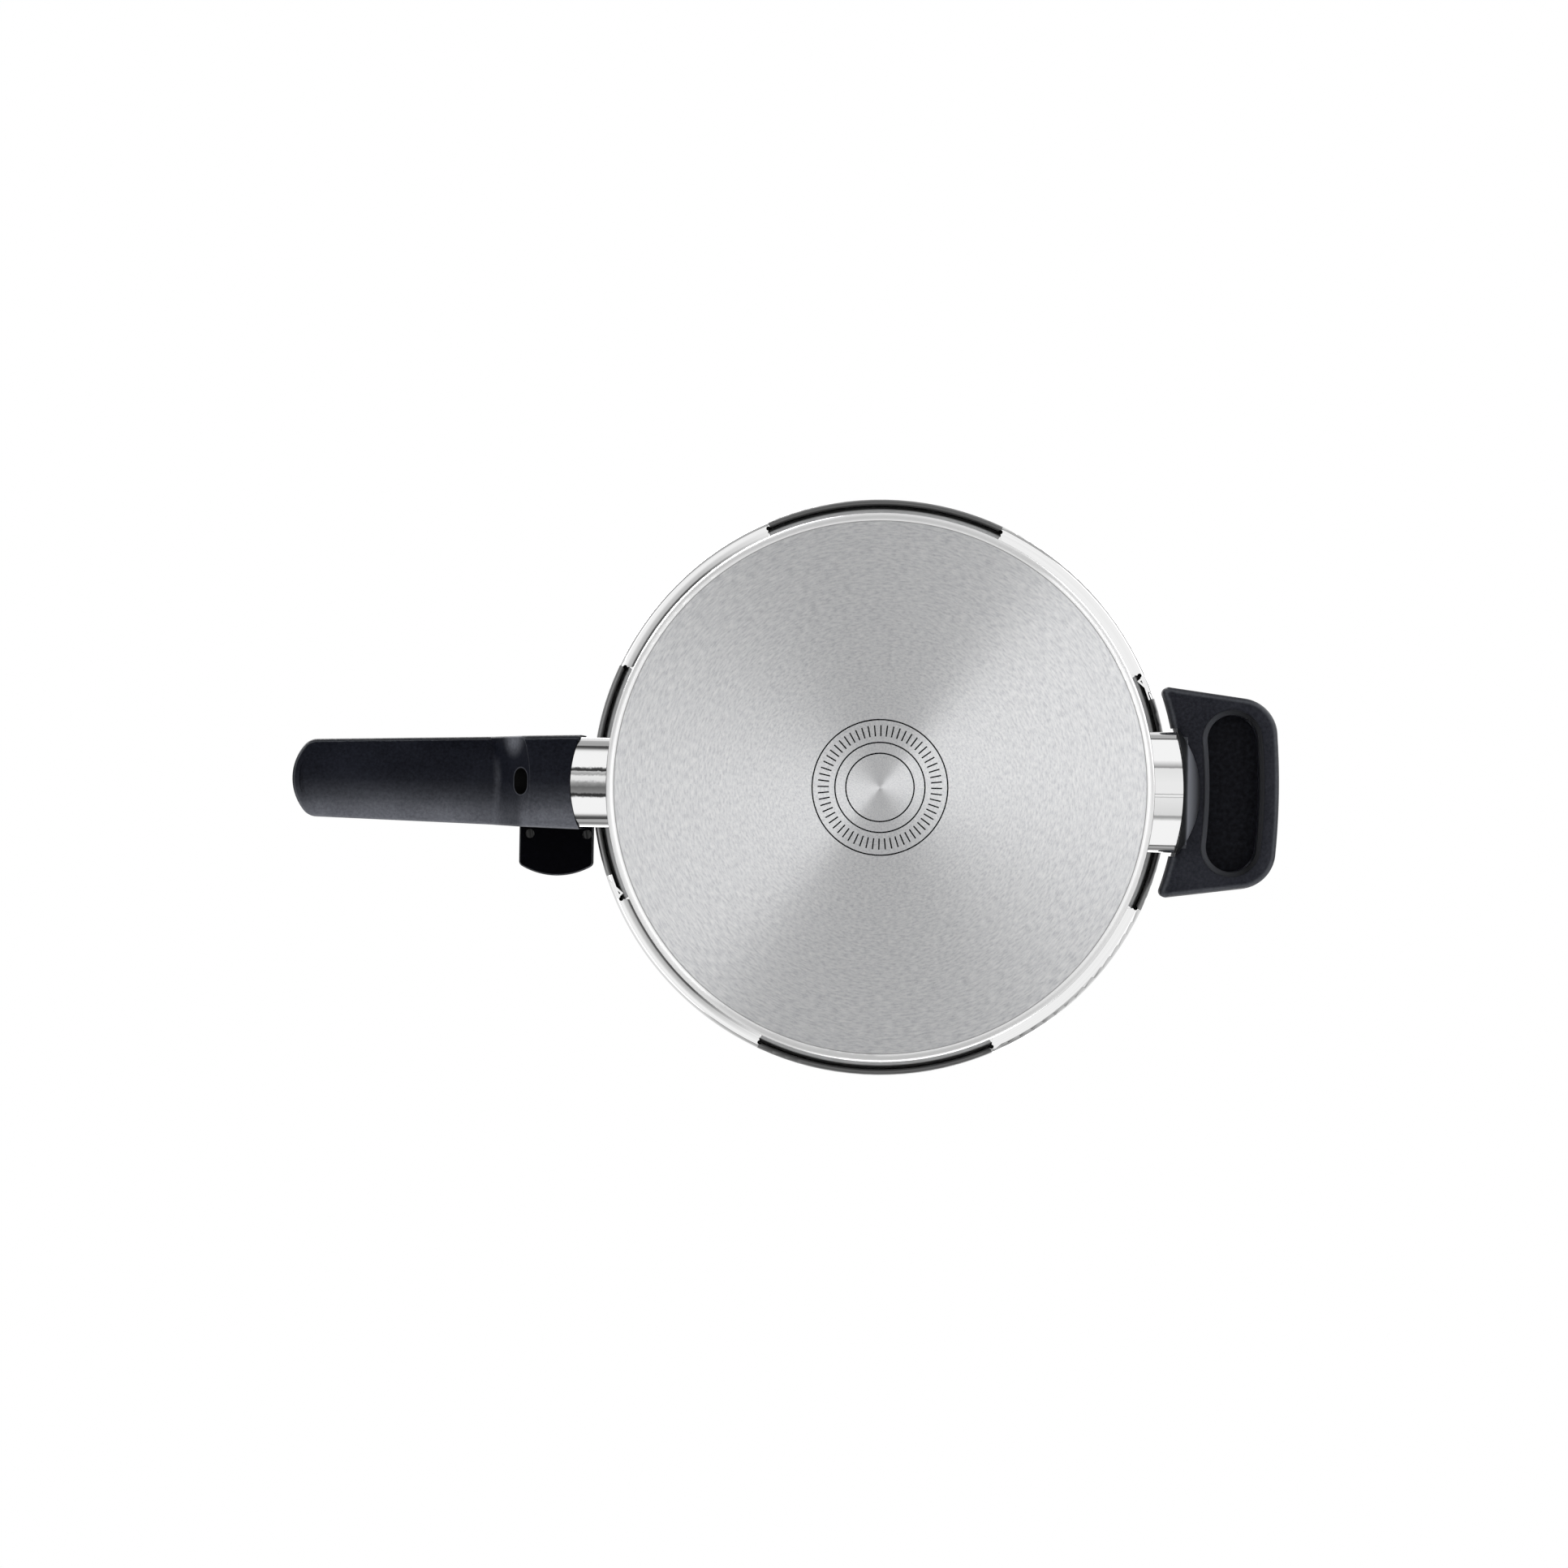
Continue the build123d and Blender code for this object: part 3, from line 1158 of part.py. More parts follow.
# Valve cap: fluted knob that turns on the valve body to set the pressure
cap_bottom = lid_top + valve_flange + cap_clearance
cap_ceiling = cap_top_z - cap_top
hub_inner = valve_tube_radius + cap_hub_fit
hub_outer = hub_inner + cap_hub_wall
with BuildPart() as valve_cap:
    cap_points = [
        (cap_radius - cap_wall, cap_bottom),
        (cap_radius, cap_bottom),
        (cap_radius - 1.5, cap_top_z),
        (valve_bore + 0.25, cap_top_z),
        (valve_bore + 0.25, cap_ceiling),
        (hub_inner, cap_ceiling),
        (hub_inner, cap_bottom + 1.5),
        (hub_outer, cap_bottom + 1.5),
        (hub_outer, cap_ceiling),
        (cap_radius - cap_wall - 1.5, cap_ceiling),
    ]
    revolve(turned_profile(cap_points, [0.6, 0.6, 4, 0.6, 0, 0, 0.5, 0.5, 0.5, 2]), axis=Axis.Z)
    with PolarLocations(cap_radius + 1.2, cap_flute_count):
        with Locations((0, 0, cap_bottom - 1)):
            Cylinder(cap_flute_radius, cap_rise, align=from_base, mode=Mode.SUBTRACT)
valve_cap.part.label = "valve_cap"
export_step(valve_cap.part, "parts/valve_cap.step")

# Valve spring: holds the stem down
with BuildPart() as valve_spring:
    spring_low = collar_top + spring_gap
    spring_high = cap_ceiling - spring_gap
    add(coil(valve_spring_radius, valve_spring_wire, valve_spring_turns, spring_low, spring_high, 0))
valve_spring.part.label = "valve_spring"
export_step(valve_spring.part, "parts/valve_spring.step")

# Safety valve: body, ring and nut in the lid, and a pin that rises with the first pressure
safety_plane = Plane(origin=(safety_x, safety_y, 0), x_dir=(1, 0, 0), z_dir=(0, -1, 0))
safety_axis = Axis((safety_x, safety_y, 0), (0, 0, 1))
safety_bottom = lid_top - safety_thread_drop
safety_top = lid_top + safety_dome_rise
with BuildPart() as safety_valve_body:
    safety_points = [
        (safety_bore, safety_bottom),
        (safety_thread_radius, safety_bottom),
        (safety_thread_radius, lid_top),
        (safety_flange_radius, lid_top),
        (safety_flange_radius, lid_top + safety_flange),
        (safety_dome_radius, lid_top + safety_flange),
        (safety_dome_radius, safety_top),
        (safety_bore, safety_top),
    ]
    safety_corners = [0.3, 0.6, 0, 0.4, 0.8, 0.4, 1.6, 0.3]
    revolve(turned_profile(safety_points, safety_corners, safety_plane), axis=safety_axis)
safety_valve_body.part.label = "safety_valve_body"
export_step(safety_valve_body.part, "parts/safety_valve_body.step")

with BuildPart() as safety_valve_ring:
    with Locations((safety_x, safety_y, lid_under)):
        Cylinder(safety_flange_radius, safety_ring, align=from_top)
        Cylinder(safety_thread_radius + thread_fit, 3 * safety_ring, mode=Mode.SUBTRACT)
safety_valve_ring.part.label = "safety_valve_ring"
export_step(safety_valve_ring.part, "parts/safety_valve_ring.step")

with BuildPart() as safety_valve_nut:
    with BuildSketch(Plane.XY.offset(lid_under - safety_ring)):
        with Locations((safety_x, safety_y)):
            RegularPolygon(safety_nut_flats / 2, 6, major_radius=False)
            Circle(safety_thread_radius + thread_fit, mode=Mode.SUBTRACT)
    extrude(amount=-safety_nut_height)
    chamfer(safety_valve_nut.faces().sort_by(Axis.Z)[0].outer_wire().edges(), 0.6)
safety_valve_nut.part.label = "safety_valve_nut"
export_step(safety_valve_nut.part, "parts/safety_valve_nut.step")

with BuildPart() as safety_pin:
    pin_radius = safety_bore - safety_fit
    float_bottom = safety_bottom - safety_float_drop
    pin_points = [
        (0, float_bottom),
        (safety_float_radius, float_bottom),
        (safety_float_radius, float_bottom + safety_float),
        (pin_radius, float_bottom + safety_float),
        (pin_radius, safety_top + 0.3),
        (safety_button_radius, safety_top + 0.3),
        (safety_button_radius, safety_top + 0.3 + safety_button),
        (0, safety_top + 0.3 + safety_button),
    ]
    revolve(turned_profile(pin_points, [0, 0.6, 0.4, 0, 0, 0.2, 1.0, 0], safety_plane), axis=safety_axis)
safety_pin.part.label = "safety_pin"
export_step(safety_pin.part, "parts/safety_pin.step")
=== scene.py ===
from math import pi, radians

import bpy
from mathutils import Matrix, Vector


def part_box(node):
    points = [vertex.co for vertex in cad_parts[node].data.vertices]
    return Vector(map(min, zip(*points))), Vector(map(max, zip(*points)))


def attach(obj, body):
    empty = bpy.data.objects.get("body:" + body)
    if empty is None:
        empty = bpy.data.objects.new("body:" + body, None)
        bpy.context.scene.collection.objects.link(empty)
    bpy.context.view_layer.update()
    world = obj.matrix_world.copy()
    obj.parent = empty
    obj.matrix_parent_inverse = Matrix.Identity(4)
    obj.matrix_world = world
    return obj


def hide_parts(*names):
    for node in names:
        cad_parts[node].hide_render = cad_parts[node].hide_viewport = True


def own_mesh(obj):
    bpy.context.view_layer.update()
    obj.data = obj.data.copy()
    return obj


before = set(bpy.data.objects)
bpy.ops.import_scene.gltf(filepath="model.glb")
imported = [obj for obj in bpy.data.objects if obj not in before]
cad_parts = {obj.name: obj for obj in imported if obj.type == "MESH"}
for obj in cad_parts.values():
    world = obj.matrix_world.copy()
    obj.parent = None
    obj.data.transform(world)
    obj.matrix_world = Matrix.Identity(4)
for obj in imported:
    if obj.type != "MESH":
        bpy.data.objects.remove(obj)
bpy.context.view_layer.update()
bpy.ops.object.select_all(action="DESELECT")


# Pot shell: one deep-drawn sheet of stainless steel whose rim is turned out into four lugs.
# The wall is mirror polished on a turning wheel, which leaves faint lines round the pot.
def feed(tree, socket, value):
    """Fills a socket: a node's output is linked, and a plain value is set."""
    if isinstance(value, bpy.types.NodeSocket):
        tree.links.new(value, socket)
    else:
        socket.default_value = value


def calculate(tree, operation, *values, clamp=False):
    """Math on one to three values."""
    node = tree.nodes.new("ShaderNodeMath")
    node.operation = operation
    node.use_clamp = clamp
    for socket, value in zip(node.inputs, values):
        feed(tree, socket, value)
    return node.outputs[0]


def spread(tree, value, low, high, to_low=0.0, to_high=1.0, interpolation="LINEAR"):
    """Carries the range from low to high over to another range, and holds its ends."""
    node = tree.nodes.new("ShaderNodeMapRange")
    node.interpolation_type = interpolation
    for socket, part in zip(node.inputs, (value, low, high, to_low, to_high)):
        feed(tree, socket, part)
    return node.outputs[0]


def noise(tree, place, scale, detail=2.0, roughness=0.5):
    """Cloudy noise over a place."""
    node = tree.nodes.new("ShaderNodeTexNoise")
    settings = {"Vector": place, "Scale": scale, "Detail": detail, "Roughness": roughness}
    for name, value in settings.items():
        feed(tree, node.inputs[name], value)
    return node.outputs["Fac"]


def drift(tree, clouds, low, high):
    """Goes from low to high with noise, which mostly keeps to the middle of its range."""
    mostly_over, mostly_under = 0.3, 0.7
    return spread(tree, clouds, mostly_over, mostly_under, low, high)


def parts_of(tree, place):
    """X, Y and Z of a place or a direction."""
    node = tree.nodes.new("ShaderNodeSeparateXYZ")
    feed(tree, node.inputs[0], place)
    return tuple(node.outputs)


def place_of(tree, x=0.0, y=0.0, z=0.0):
    """Place from its X, Y and Z."""
    node = tree.nodes.new("ShaderNodeCombineXYZ")
    for socket, part in zip(node.inputs, (x, y, z)):
        feed(tree, socket, part)
    return node.outputs[0]


def distance_between(tree, place, point=(0, 0, 0)):
    """Distance of a place from a point."""
    node = tree.nodes.new("ShaderNodeVectorMath")
    node.operation = "DISTANCE"
    feed(tree, node.inputs[0], place)
    feed(tree, node.inputs[1], point)
    return node.outputs["Value"]


class Spot:
    """A place, its parts, and where it lies about the pot's axis."""

    def __init__(self, tree, place):
        self.place = place
        self.x, self.y, self.z = parts_of(tree, place)
        self.outward = place_of(tree, self.x, self.y)
        self.distance = distance_between(tree, self.outward)
        self.angle = calculate(tree, "ARCTAN2", self.y, self.x)


def new_group(name, inputs, outputs):
    """New shader group, with its inner input and output sockets; the sockets are given with their kinds."""
    group = bpy.data.node_groups.new(name, "ShaderNodeTree")
    for way, sockets in (("INPUT", inputs), ("OUTPUT", outputs)):
        for socket_name, kind in sockets.items():
            group.interface.new_socket(socket_name, in_out=way, socket_type="NodeSocket" + kind)
    return group, group.nodes.new("NodeGroupInput").outputs, group.nodes.new("NodeGroupOutput").inputs


def use_group(tree, group, inputs):
    """Places a shader group, fills its inputs and gives its outputs."""
    node = tree.nodes.new("ShaderNodeGroup")
    node.node_tree = group
    for name, value in inputs.items():
        feed(tree, node.inputs[name], value)
    return node.outputs


def new_finish(name):
    """New material, with its nodes and its shader."""
    finish = bpy.data.materials.new(name)
    finish.use_nodes = True
    return finish, finish.node_tree, finish.node_tree.nodes["Principled BSDF"]


def coordinates(tree, kind):
    """Texture coordinates of a kind, such as Object or Normal."""
    return tree.nodes.new("ShaderNodeTexCoord").outputs[kind]


def roughen(tree, height, strength, depth):
    """Bumps the surface of a finish by a height."""
    node = tree.nodes.new("ShaderNodeBump")
    node.inputs["Strength"].default_value = strength
    node.inputs["Distance"].default_value = depth
    feed(tree, node.inputs["Height"], height)
    feed(tree, tree.nodes["Principled BSDF"].inputs["Normal"], node.outputs[0])


polish, entry, leave = new_group("turned_polish", {"Vector": "Vector"}, {"Clouds": "Float", "Lines": "Float"})
line_shortness = 0.0006
spot = Spot(polish, entry["Vector"])
slow_angle = calculate(polish, "MULTIPLY", spot.angle, line_shortness)
line_place = place_of(polish, spot.distance, slow_angle, spot.z)
feed(polish, leave["Clouds"], noise(polish, spot.place, scale=38.0, detail=4.0, roughness=0.6))
feed(polish, leave["Lines"], noise(polish, line_place, scale=2600.0))


def polished_steel(name, tone, roughness):
    """Polished steel of a tone, with a roughness that drifts between two values and faint turning lines."""
    finish, tree, shader = new_finish(name)
    turned = use_group(tree, polish, {"Vector": coordinates(tree, "Object")})
    line_contrast = 0.03
    tint = drift(tree, turned["Lines"], tone - line_contrast, tone + line_contrast)
    feed(tree, shader.inputs["Base Color"], tint)
    feed(tree, shader.inputs["Roughness"], drift(tree, turned["Clouds"], *roughness))
    roughen(tree, turned["Lines"], strength=0.05, depth=0.00002)
    shader.inputs["Metallic"].default_value = 1.0
    return finish


def dress(finish, *node_names):
    """Gives CAD nodes a finish."""
    for node_name in node_names:
        for material_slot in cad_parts[node_name].material_slots:
            material_slot.material = finish


def copy_of_node(node_name, piece_name):
    """Copy of a CAD node as a new piece, with its loose triangles merged and its flat facets joined."""
    merge_gap = 0.000002
    flat_angle = 0.3
    bpy.ops.object.select_all(action="DESELECT")
    piece = bpy.data.objects.new(piece_name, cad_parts[node_name].data.copy())
    bpy.context.scene.collection.objects.link(piece)
    bpy.context.view_layer.objects.active = piece
    piece.select_set(True)
    bpy.context.tool_settings.mesh_select_mode = (False, True, False)
    bpy.ops.object.mode_set(mode="EDIT")
    bpy.ops.mesh.select_all(action="SELECT")
    bpy.ops.mesh.customdata_custom_splitnormals_clear()
    bpy.ops.mesh.remove_doubles(threshold=merge_gap)
    bpy.ops.mesh.dissolve_limited(angle_limit=radians(flat_angle))
    bpy.ops.mesh.select_all(action="DESELECT")
    bpy.ops.object.mode_set(mode="OBJECT")
    return piece


def finish_copy(piece, finish, crisp_angle):
    """Gives a copy its finish, smooth shading with crisp edges, and normals that follow the large faces."""
    bpy.ops.object.shade_smooth_by_angle(angle=radians(crisp_angle))
    weighting = piece.modifiers.new("flat_faces_first", "WEIGHTED_NORMAL")
    weighting.keep_sharp = True
    bpy.ops.object.modifier_apply(modifier=weighting.name)
    piece.data.materials.clear()
    piece.data.materials.append(finish)


wall_polish = polished_steel("wall_polish", tone=0.84, roughness=(0.05, 0.11))
pot_wall = copy_of_node("pot_shell", "pot_wall")
finish_copy(pot_wall, wall_polish, crisp_angle=32)
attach(pot_wall, "pot")
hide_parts("pot_shell")


# Base core and capsule: an aluminium disc in a thin steel pan, pressed to the pot's bottom to heat it evenly.
# The pan's flat is brushed in circles and its rounded edge polished, and rings and ticks are engraved in it.
def ramp(tree, value, stops, interpolation="LINEAR"):
    """Colour along a value: each stop is a place and a grey or a colour."""
    node = tree.nodes.new("ShaderNodeValToRGB")
    node.color_ramp.interpolation = interpolation
    elements = node.color_ramp.elements
    while len(elements) < len(stops):
        elements.new(1.0)
    for element, (place, colour) in zip(elements, stops):
        element.position = place
        element.color = (colour, colour, colour, 1) if isinstance(colour, float) else (*colour, 1)
    feed(tree, node.inputs[0], value)
    return node.outputs[0]


def blend(tree, share, first, second, kind="RGBA", blend_type="MIX"):
    """Goes from one colour to another by a share, or from one value to another where the kind is FLOAT."""
    node = tree.nodes.new("ShaderNodeMix")
    node.data_type = kind
    node.blend_type = blend_type
    first_input, second_input, result = (6, 7, 2) if kind == "RGBA" else (2, 3, 0)
    feed(tree, node.inputs[0], share)
    feed(tree, node.inputs[first_input], first)
    feed(tree, node.inputs[second_input], second)
    return node.outputs[result]


def both(tree, first, second):
    """Mask that shows where two masks do."""
    return calculate(tree, "MULTIPLY", first, second)


core_metal = polished_steel("core_metal", tone=0.74, roughness=(0.3, 0.4))
dress(core_metal, "base_core")
base_edge_radius = 0.105
base_edge_width = 0.0036
engraving_reach = 0.04
groove_colour = (0.014, 0.014, 0.016, 1)
streak_shortness = 0.020
base_brushing, tree, shader = new_finish("base_brushing")
spot = Spot(tree, coordinates(tree, "Object"))
streak_place = place_of(tree, spot.distance, calculate(tree, "MULTIPLY", spot.angle, streak_shortness))
streaks = noise(tree, streak_place, scale=1300.0, detail=4.0, roughness=0.72)
bands = noise(tree, streak_place, scale=260.0)
band_share = 0.10
mixed = calculate(tree, "MULTIPLY_ADD", bands, band_share, streaks)
brushed_stops = [(0.37, (0.74, 0.745, 0.77)), (0.55, (0.895, 0.90, 0.91)), (0.73, (1.0, 1.0, 1.0))]
# The brushed flat is darker towards −X.
minus_x_tone = 0.875
minus_x_gradient = spread(tree, spot.x, -base_edge_radius, base_edge_radius, minus_x_tone, 1.0)
flat_tone = blend(tree, 1.0, ramp(tree, mixed, brushed_stops), minus_x_gradient, blend_type="MULTIPLY")
flat_end, edge_start = base_edge_radius - 0.0001, base_edge_radius + 0.0003
on_edge = spread(tree, spot.distance, flat_end, edge_start)
edge_part = spread(tree, spot.distance, base_edge_radius, base_edge_radius + base_edge_width)
# The rounded edge starts with a thin line of painted shade where it meets the flat, and is polished bright
# beyond it.
edge_tone = ramp(tree, edge_part, [(0.0, 0.22), (0.08, 0.22), (0.16, 0.97), (1.0, 1.0)])
pan_tone = blend(tree, on_edge, flat_tone, edge_tone)
groove_lip, groove_wall = 0.00004, 0.00012
in_groove = spread(tree, spot.z, groove_lip, groove_wall)
near_middle = calculate(tree, "LESS_THAN", spot.distance, engraving_reach)
groove = both(tree, in_groove, near_middle)
feed(tree, shader.inputs["Base Color"], blend(tree, groove, pan_tone, groove_colour))
edge_roughness = 0.22
brushed_roughness = drift(tree, streaks, 0.58, 0.50)
feed(tree, shader.inputs["Roughness"], blend(tree, on_edge, brushed_roughness, edge_roughness, "FLOAT"))
edge_metal = 0.45
feed(tree, shader.inputs["Metallic"], spread(tree, on_edge, 0.0, 1.0, 1.0, edge_metal))
feed(tree, shader.inputs["Tangent"], spot.outward)
shader.inputs["Anisotropic"].default_value = 1.0
off_edge = calculate(tree, "SUBTRACT", 1.0, on_edge)
roughen(tree, both(tree, streaks, off_edge), strength=0.12, depth=0.00003)
dress(base_brushing, "base_capsule")

# Brackets: pads of plain steel sheet that are welded to the wall and carry the handles.
# They are hidden by the guards, so they are only tumbled and stay satin.
bracket_steel = polished_steel("bracket_steel", tone=0.6, roughness=(0.28, 0.4))
dress(bracket_steel, "pot_handle_bracket", "side_handle_bracket")


# Guards: bright steel sleeves that keep the flame off the handles, spot welded to the wall.
# A shallow channel is pressed along each, and painted reflections lie across its walls and its floor as dark
# and pale bands.
def lay_over(tree, mask, colour, roughness):
    """Lays a second colour and roughness over a finish where a mask is 1."""
    base_colour = tree.nodes["Principled BSDF"].inputs["Base Color"]
    base_roughness = tree.nodes["Principled BSDF"].inputs["Roughness"]
    feed(tree, base_colour, blend(tree, mask, base_colour.links[0].from_socket, colour))
    feed(tree, base_roughness, blend(tree, mask, base_roughness.links[0].from_socket, roughness, "FLOAT"))


def guard_polish(name, half_width, underside, stops, mottle):
    """Polished sleeve whose channel carries painted reflections: stops give the tone across the underside in
    millimetres of Y.
    """
    finish = polished_steel(name, tone=0.88, roughness=(0.04, 0.08))
    tree = finish.node_tree
    spot = Spot(tree, coordinates(tree, "Object"))
    clouds = noise(tree, spot.place, scale=420.0, detail=4.0, roughness=0.7)
    wavy = calculate(tree, "ADD", spot.y, drift(tree, clouds, -mottle, mottle))
    across = spread(tree, wavy, -half_width, half_width)
    width_in_millimetres = 2000 * half_width
    channel = ramp(tree, across, [(0.5 + y / width_in_millimetres, tone) for y, tone in stops])
    below = calculate(tree, "LESS_THAN", spot.z, underside)
    lay_over(tree, below, channel, roughness=0.08)
    return finish


# Tones of the painted reflections across each guard's underside, in millimetres of Y.
pot_guard_reflection_stops = [
    (-6.5, 0.88), (-5.8, 0.06), (-4.9, 0.03), (-4.5, 0.50), (-3.4, 0.34), (-2.6, 0.78), (-1.0, 0.72),
    (0.2, 0.30), (2.0, 0.14), (4.3, 0.22), (4.9, 0.02), (5.7, 0.05), (6.5, 0.88),
]
pot_guard = guard_polish(
    "pot_guard_polish", half_width=0.020, underside=0.0900, stops=pot_guard_reflection_stops, mottle=0.00035
)
dress(pot_guard, "pot_handle_guard")
side_guard_reflection_stops = [
    (-13.4, 0.88), (-12.2, 0.66), (-10.6, 0.30), (-10.3, 0.28), (-10.0, 0.74), (-4.0, 0.80), (0.5, 0.80),
    (0.8, 0.30), (1.1, 0.82), (1.7, 0.82), (2.0, 0.40), (2.3, 0.76), (9.4, 0.66), (10.1, 0.30), (10.8, 0.40),
    (12.0, 0.88),
]
side_guard = guard_polish(
    "side_guard_polish", half_width=0.026, underside=0.1000, stops=side_guard_reflection_stops, mottle=0.00008
)
dress(side_guard, "side_handle_guard")

# Pot handle: moulded heat-proof plastic, charcoal black with a fine spark-eroded grain.
# It is slid over its bracket, and one screw in the oval hole holds it.
# The foot of its slope is rounded, and a painted sheen lightens its underside towards its far side.
grain, entry, leave = new_group(
    "moulded_grain",
    {"Vector": "Vector", "Normal": "Vector", "Edge Start": "Float"},
    {"Height": "Float", "Bloom": "Float", "Edge": "Float"},
)
pits = grain.nodes.new("ShaderNodeTexVoronoi")
feed(grain, pits.inputs["Vector"], entry["Vector"])
pits.inputs["Scale"].default_value = 1300.0
dimples = noise(grain, entry["Vector"], scale=800.0, detail=3.0, roughness=0.6)
pit_share = 0.5
feed(grain, leave["Height"], calculate(grain, "MULTIPLY_ADD", pits.outputs["Distance"], pit_share, dimples))
patches = noise(grain, entry["Vector"], scale=24.0, detail=5.0, roughness=0.65)
speckle_share = 0.9
speckles = calculate(grain, "MULTIPLY_ADD", dimples, speckle_share, -speckle_share / 2)
feed(grain, leave["Bloom"], calculate(grain, "ADD", patches, speckles))
# The Edge output picks out rounded edges by the tilt of their normals, for a painted highlight.
facing = grain.nodes.new("ShaderNodeVectorMath")
facing.operation = "ABSOLUTE"
feed(grain, facing.inputs[0], entry["Normal"])
sideways, lengthways, upright = parts_of(grain, facing.outputs[0])
flattest = calculate(grain, "MAXIMUM", calculate(grain, "MAXIMUM", sideways, lengthways), upright)
edge_full = 0.70
edge = spread(grain, flattest, entry["Edge Start"], edge_full, interpolation="SMOOTHSTEP")
feed(grain, leave["Edge"], edge)


def moulded_plastic(name, dark, light, edge, roughness, grain_strength, specular, edge_start=0.9):
    """Grained plastic: a speckled bloom from dark to light, uneven gloss, and a painted highlight on rounded
    edges.
    """
    finish, tree, shader = new_finish(name)
    moulded = use_group(tree, grain, {
        "Vector": coordinates(tree, "Object"),
        "Normal": coordinates(tree, "Normal"),
        "Edge Start": edge_start,
    })
    bloom_start, bloom_full = 0.25, 0.8
    tone = ramp(tree, moulded["Bloom"], [(bloom_start, dark), (bloom_full, light)])
    edge_highlight_dimming = 0.6
    dim_edge_highlight = tuple(edge_highlight_dimming * part for part in edge)
    edge_highlight_tone = ramp(tree, moulded["Bloom"], [(bloom_start, dim_edge_highlight), (bloom_full, edge)])
    feed(tree, shader.inputs["Base Color"], blend(tree, moulded["Edge"], tone, edge_highlight_tone))
    feed(tree, shader.inputs["Roughness"], drift(tree, moulded["Bloom"], *roughness))
    roughen(tree, moulded["Height"], strength=grain_strength, depth=0.00012)
    shader.inputs["Specular IOR Level"].default_value = specular
    return finish


slope_foot_x = -0.1613
slope_facing = Vector((-21.5, 0, -15.9)).normalized()
foot_rounding = 0.0024
same_facing = 0.9995
pot_grip = copy_of_node("pot_handle", "pot_grip")
mesh = pot_grip.data
beside = {}
for face in mesh.polygons:
    for key in face.edge_keys:
        beside.setdefault(key, []).append(face.normal.dot(slope_facing) > same_facing)
for edge in mesh.edges:
    middle = (mesh.vertices[edge.vertices[0]].co + mesh.vertices[edge.vertices[1]].co) / 2
    edge.select = sorted(beside[edge.key]) == [False, True] and middle.x < slope_foot_x
bpy.ops.object.mode_set(mode="EDIT")
bpy.ops.mesh.bevel(offset=foot_rounding, segments=5, profile=0.5, affect="EDGES", clamp_overlap=True)
bpy.ops.mesh.select_all(action="DESELECT")
bpy.ops.object.mode_set(mode="OBJECT")
grip_black = moulded_plastic(
    "grip_black", dark=(0.003, 0.0035, 0.007), light=(0.016, 0.018, 0.027), edge=(0.10, 0.106, 0.12),
    roughness=(0.36, 0.48), grain_strength=0.25, specular=0.06, edge_start=0.79,
)
tree = grip_black.node_tree
spot = Spot(tree, coordinates(tree, "Object"))
bloom = use_group(tree, grain, {"Vector": spot.place})["Bloom"]
painted_sheen_tone = ramp(tree, bloom, [(0.25, (0.14, 0.146, 0.17)), (0.8, (0.26, 0.27, 0.305))])
# A painted sheen lies on the grip's underside and grows towards its far side.
sheen_start_y, sheen_end_y = -0.005, 0.015
grip_end_x, grip_start_x = -0.25, -0.125
sheen_side_stops = [(0.0, 0.0), (0.25, 0.03), (0.45, 0.15), (0.65, 0.36), (0.85, 0.72), (1.0, 0.95)]
sheen_run_stops = [
    (0.0, 0.8), (0.1, 1.0), (0.55, 1.0), (0.65, 0.8), (0.70, 0.8), (0.735, 0.45), (0.785, 0.45), (0.81, 1.0),
    (1.0, 0.95),
]
sheen_side = ramp(tree, spread(tree, spot.y, sheen_start_y, sheen_end_y), sheen_side_stops)
sheen_run = ramp(tree, spread(tree, spot.x, grip_end_x, grip_start_x), sheen_run_stops)
side_on, turned_down = -0.02, -0.35
underneath = spread(tree, parts_of(tree, coordinates(tree, "Normal"))[2], side_on, turned_down)
lay_over(tree, both(tree, both(tree, sheen_side, sheen_run), underneath), painted_sheen_tone, roughness=0.42)
# A painted highlight line follows the bowed foot of the slope, and a painted highlight patch lies beside it.
foot_bow = 9.0
foot_half = 0.0022
foot_start_y, foot_end_y = -0.011, -0.003
bowed = calculate(tree, "MULTIPLY_ADD", calculate(tree, "MULTIPLY", spot.y, spot.y), foot_bow, spot.x)
foot_part = spread(tree, bowed, slope_foot_x - foot_half, slope_foot_x + foot_half)
foot_line = ramp(tree, foot_part, [(0.0, 0.0), (0.42, 0.24), (0.6, 0.24), (1.0, 0.0)])
foot_share = spread(tree, spot.y, foot_start_y, foot_end_y)
lay_over(tree, both(tree, foot_line, foot_share), painted_sheen_tone, roughness=0.36)
highlight_patch_place = (-0.1545, -0.0185, 0.093)
highlight_patch_reach, highlight_patch_core = 0.0100, 0.002
highlight_patch_distance = distance_between(tree, spot.place, highlight_patch_place)
highlight_patch = spread(tree, highlight_patch_distance, highlight_patch_reach, highlight_patch_core, 0.0, 0.8, interpolation="SMOOTHSTEP")
lay_over(tree, highlight_patch, painted_sheen_tone, roughness=0.4)
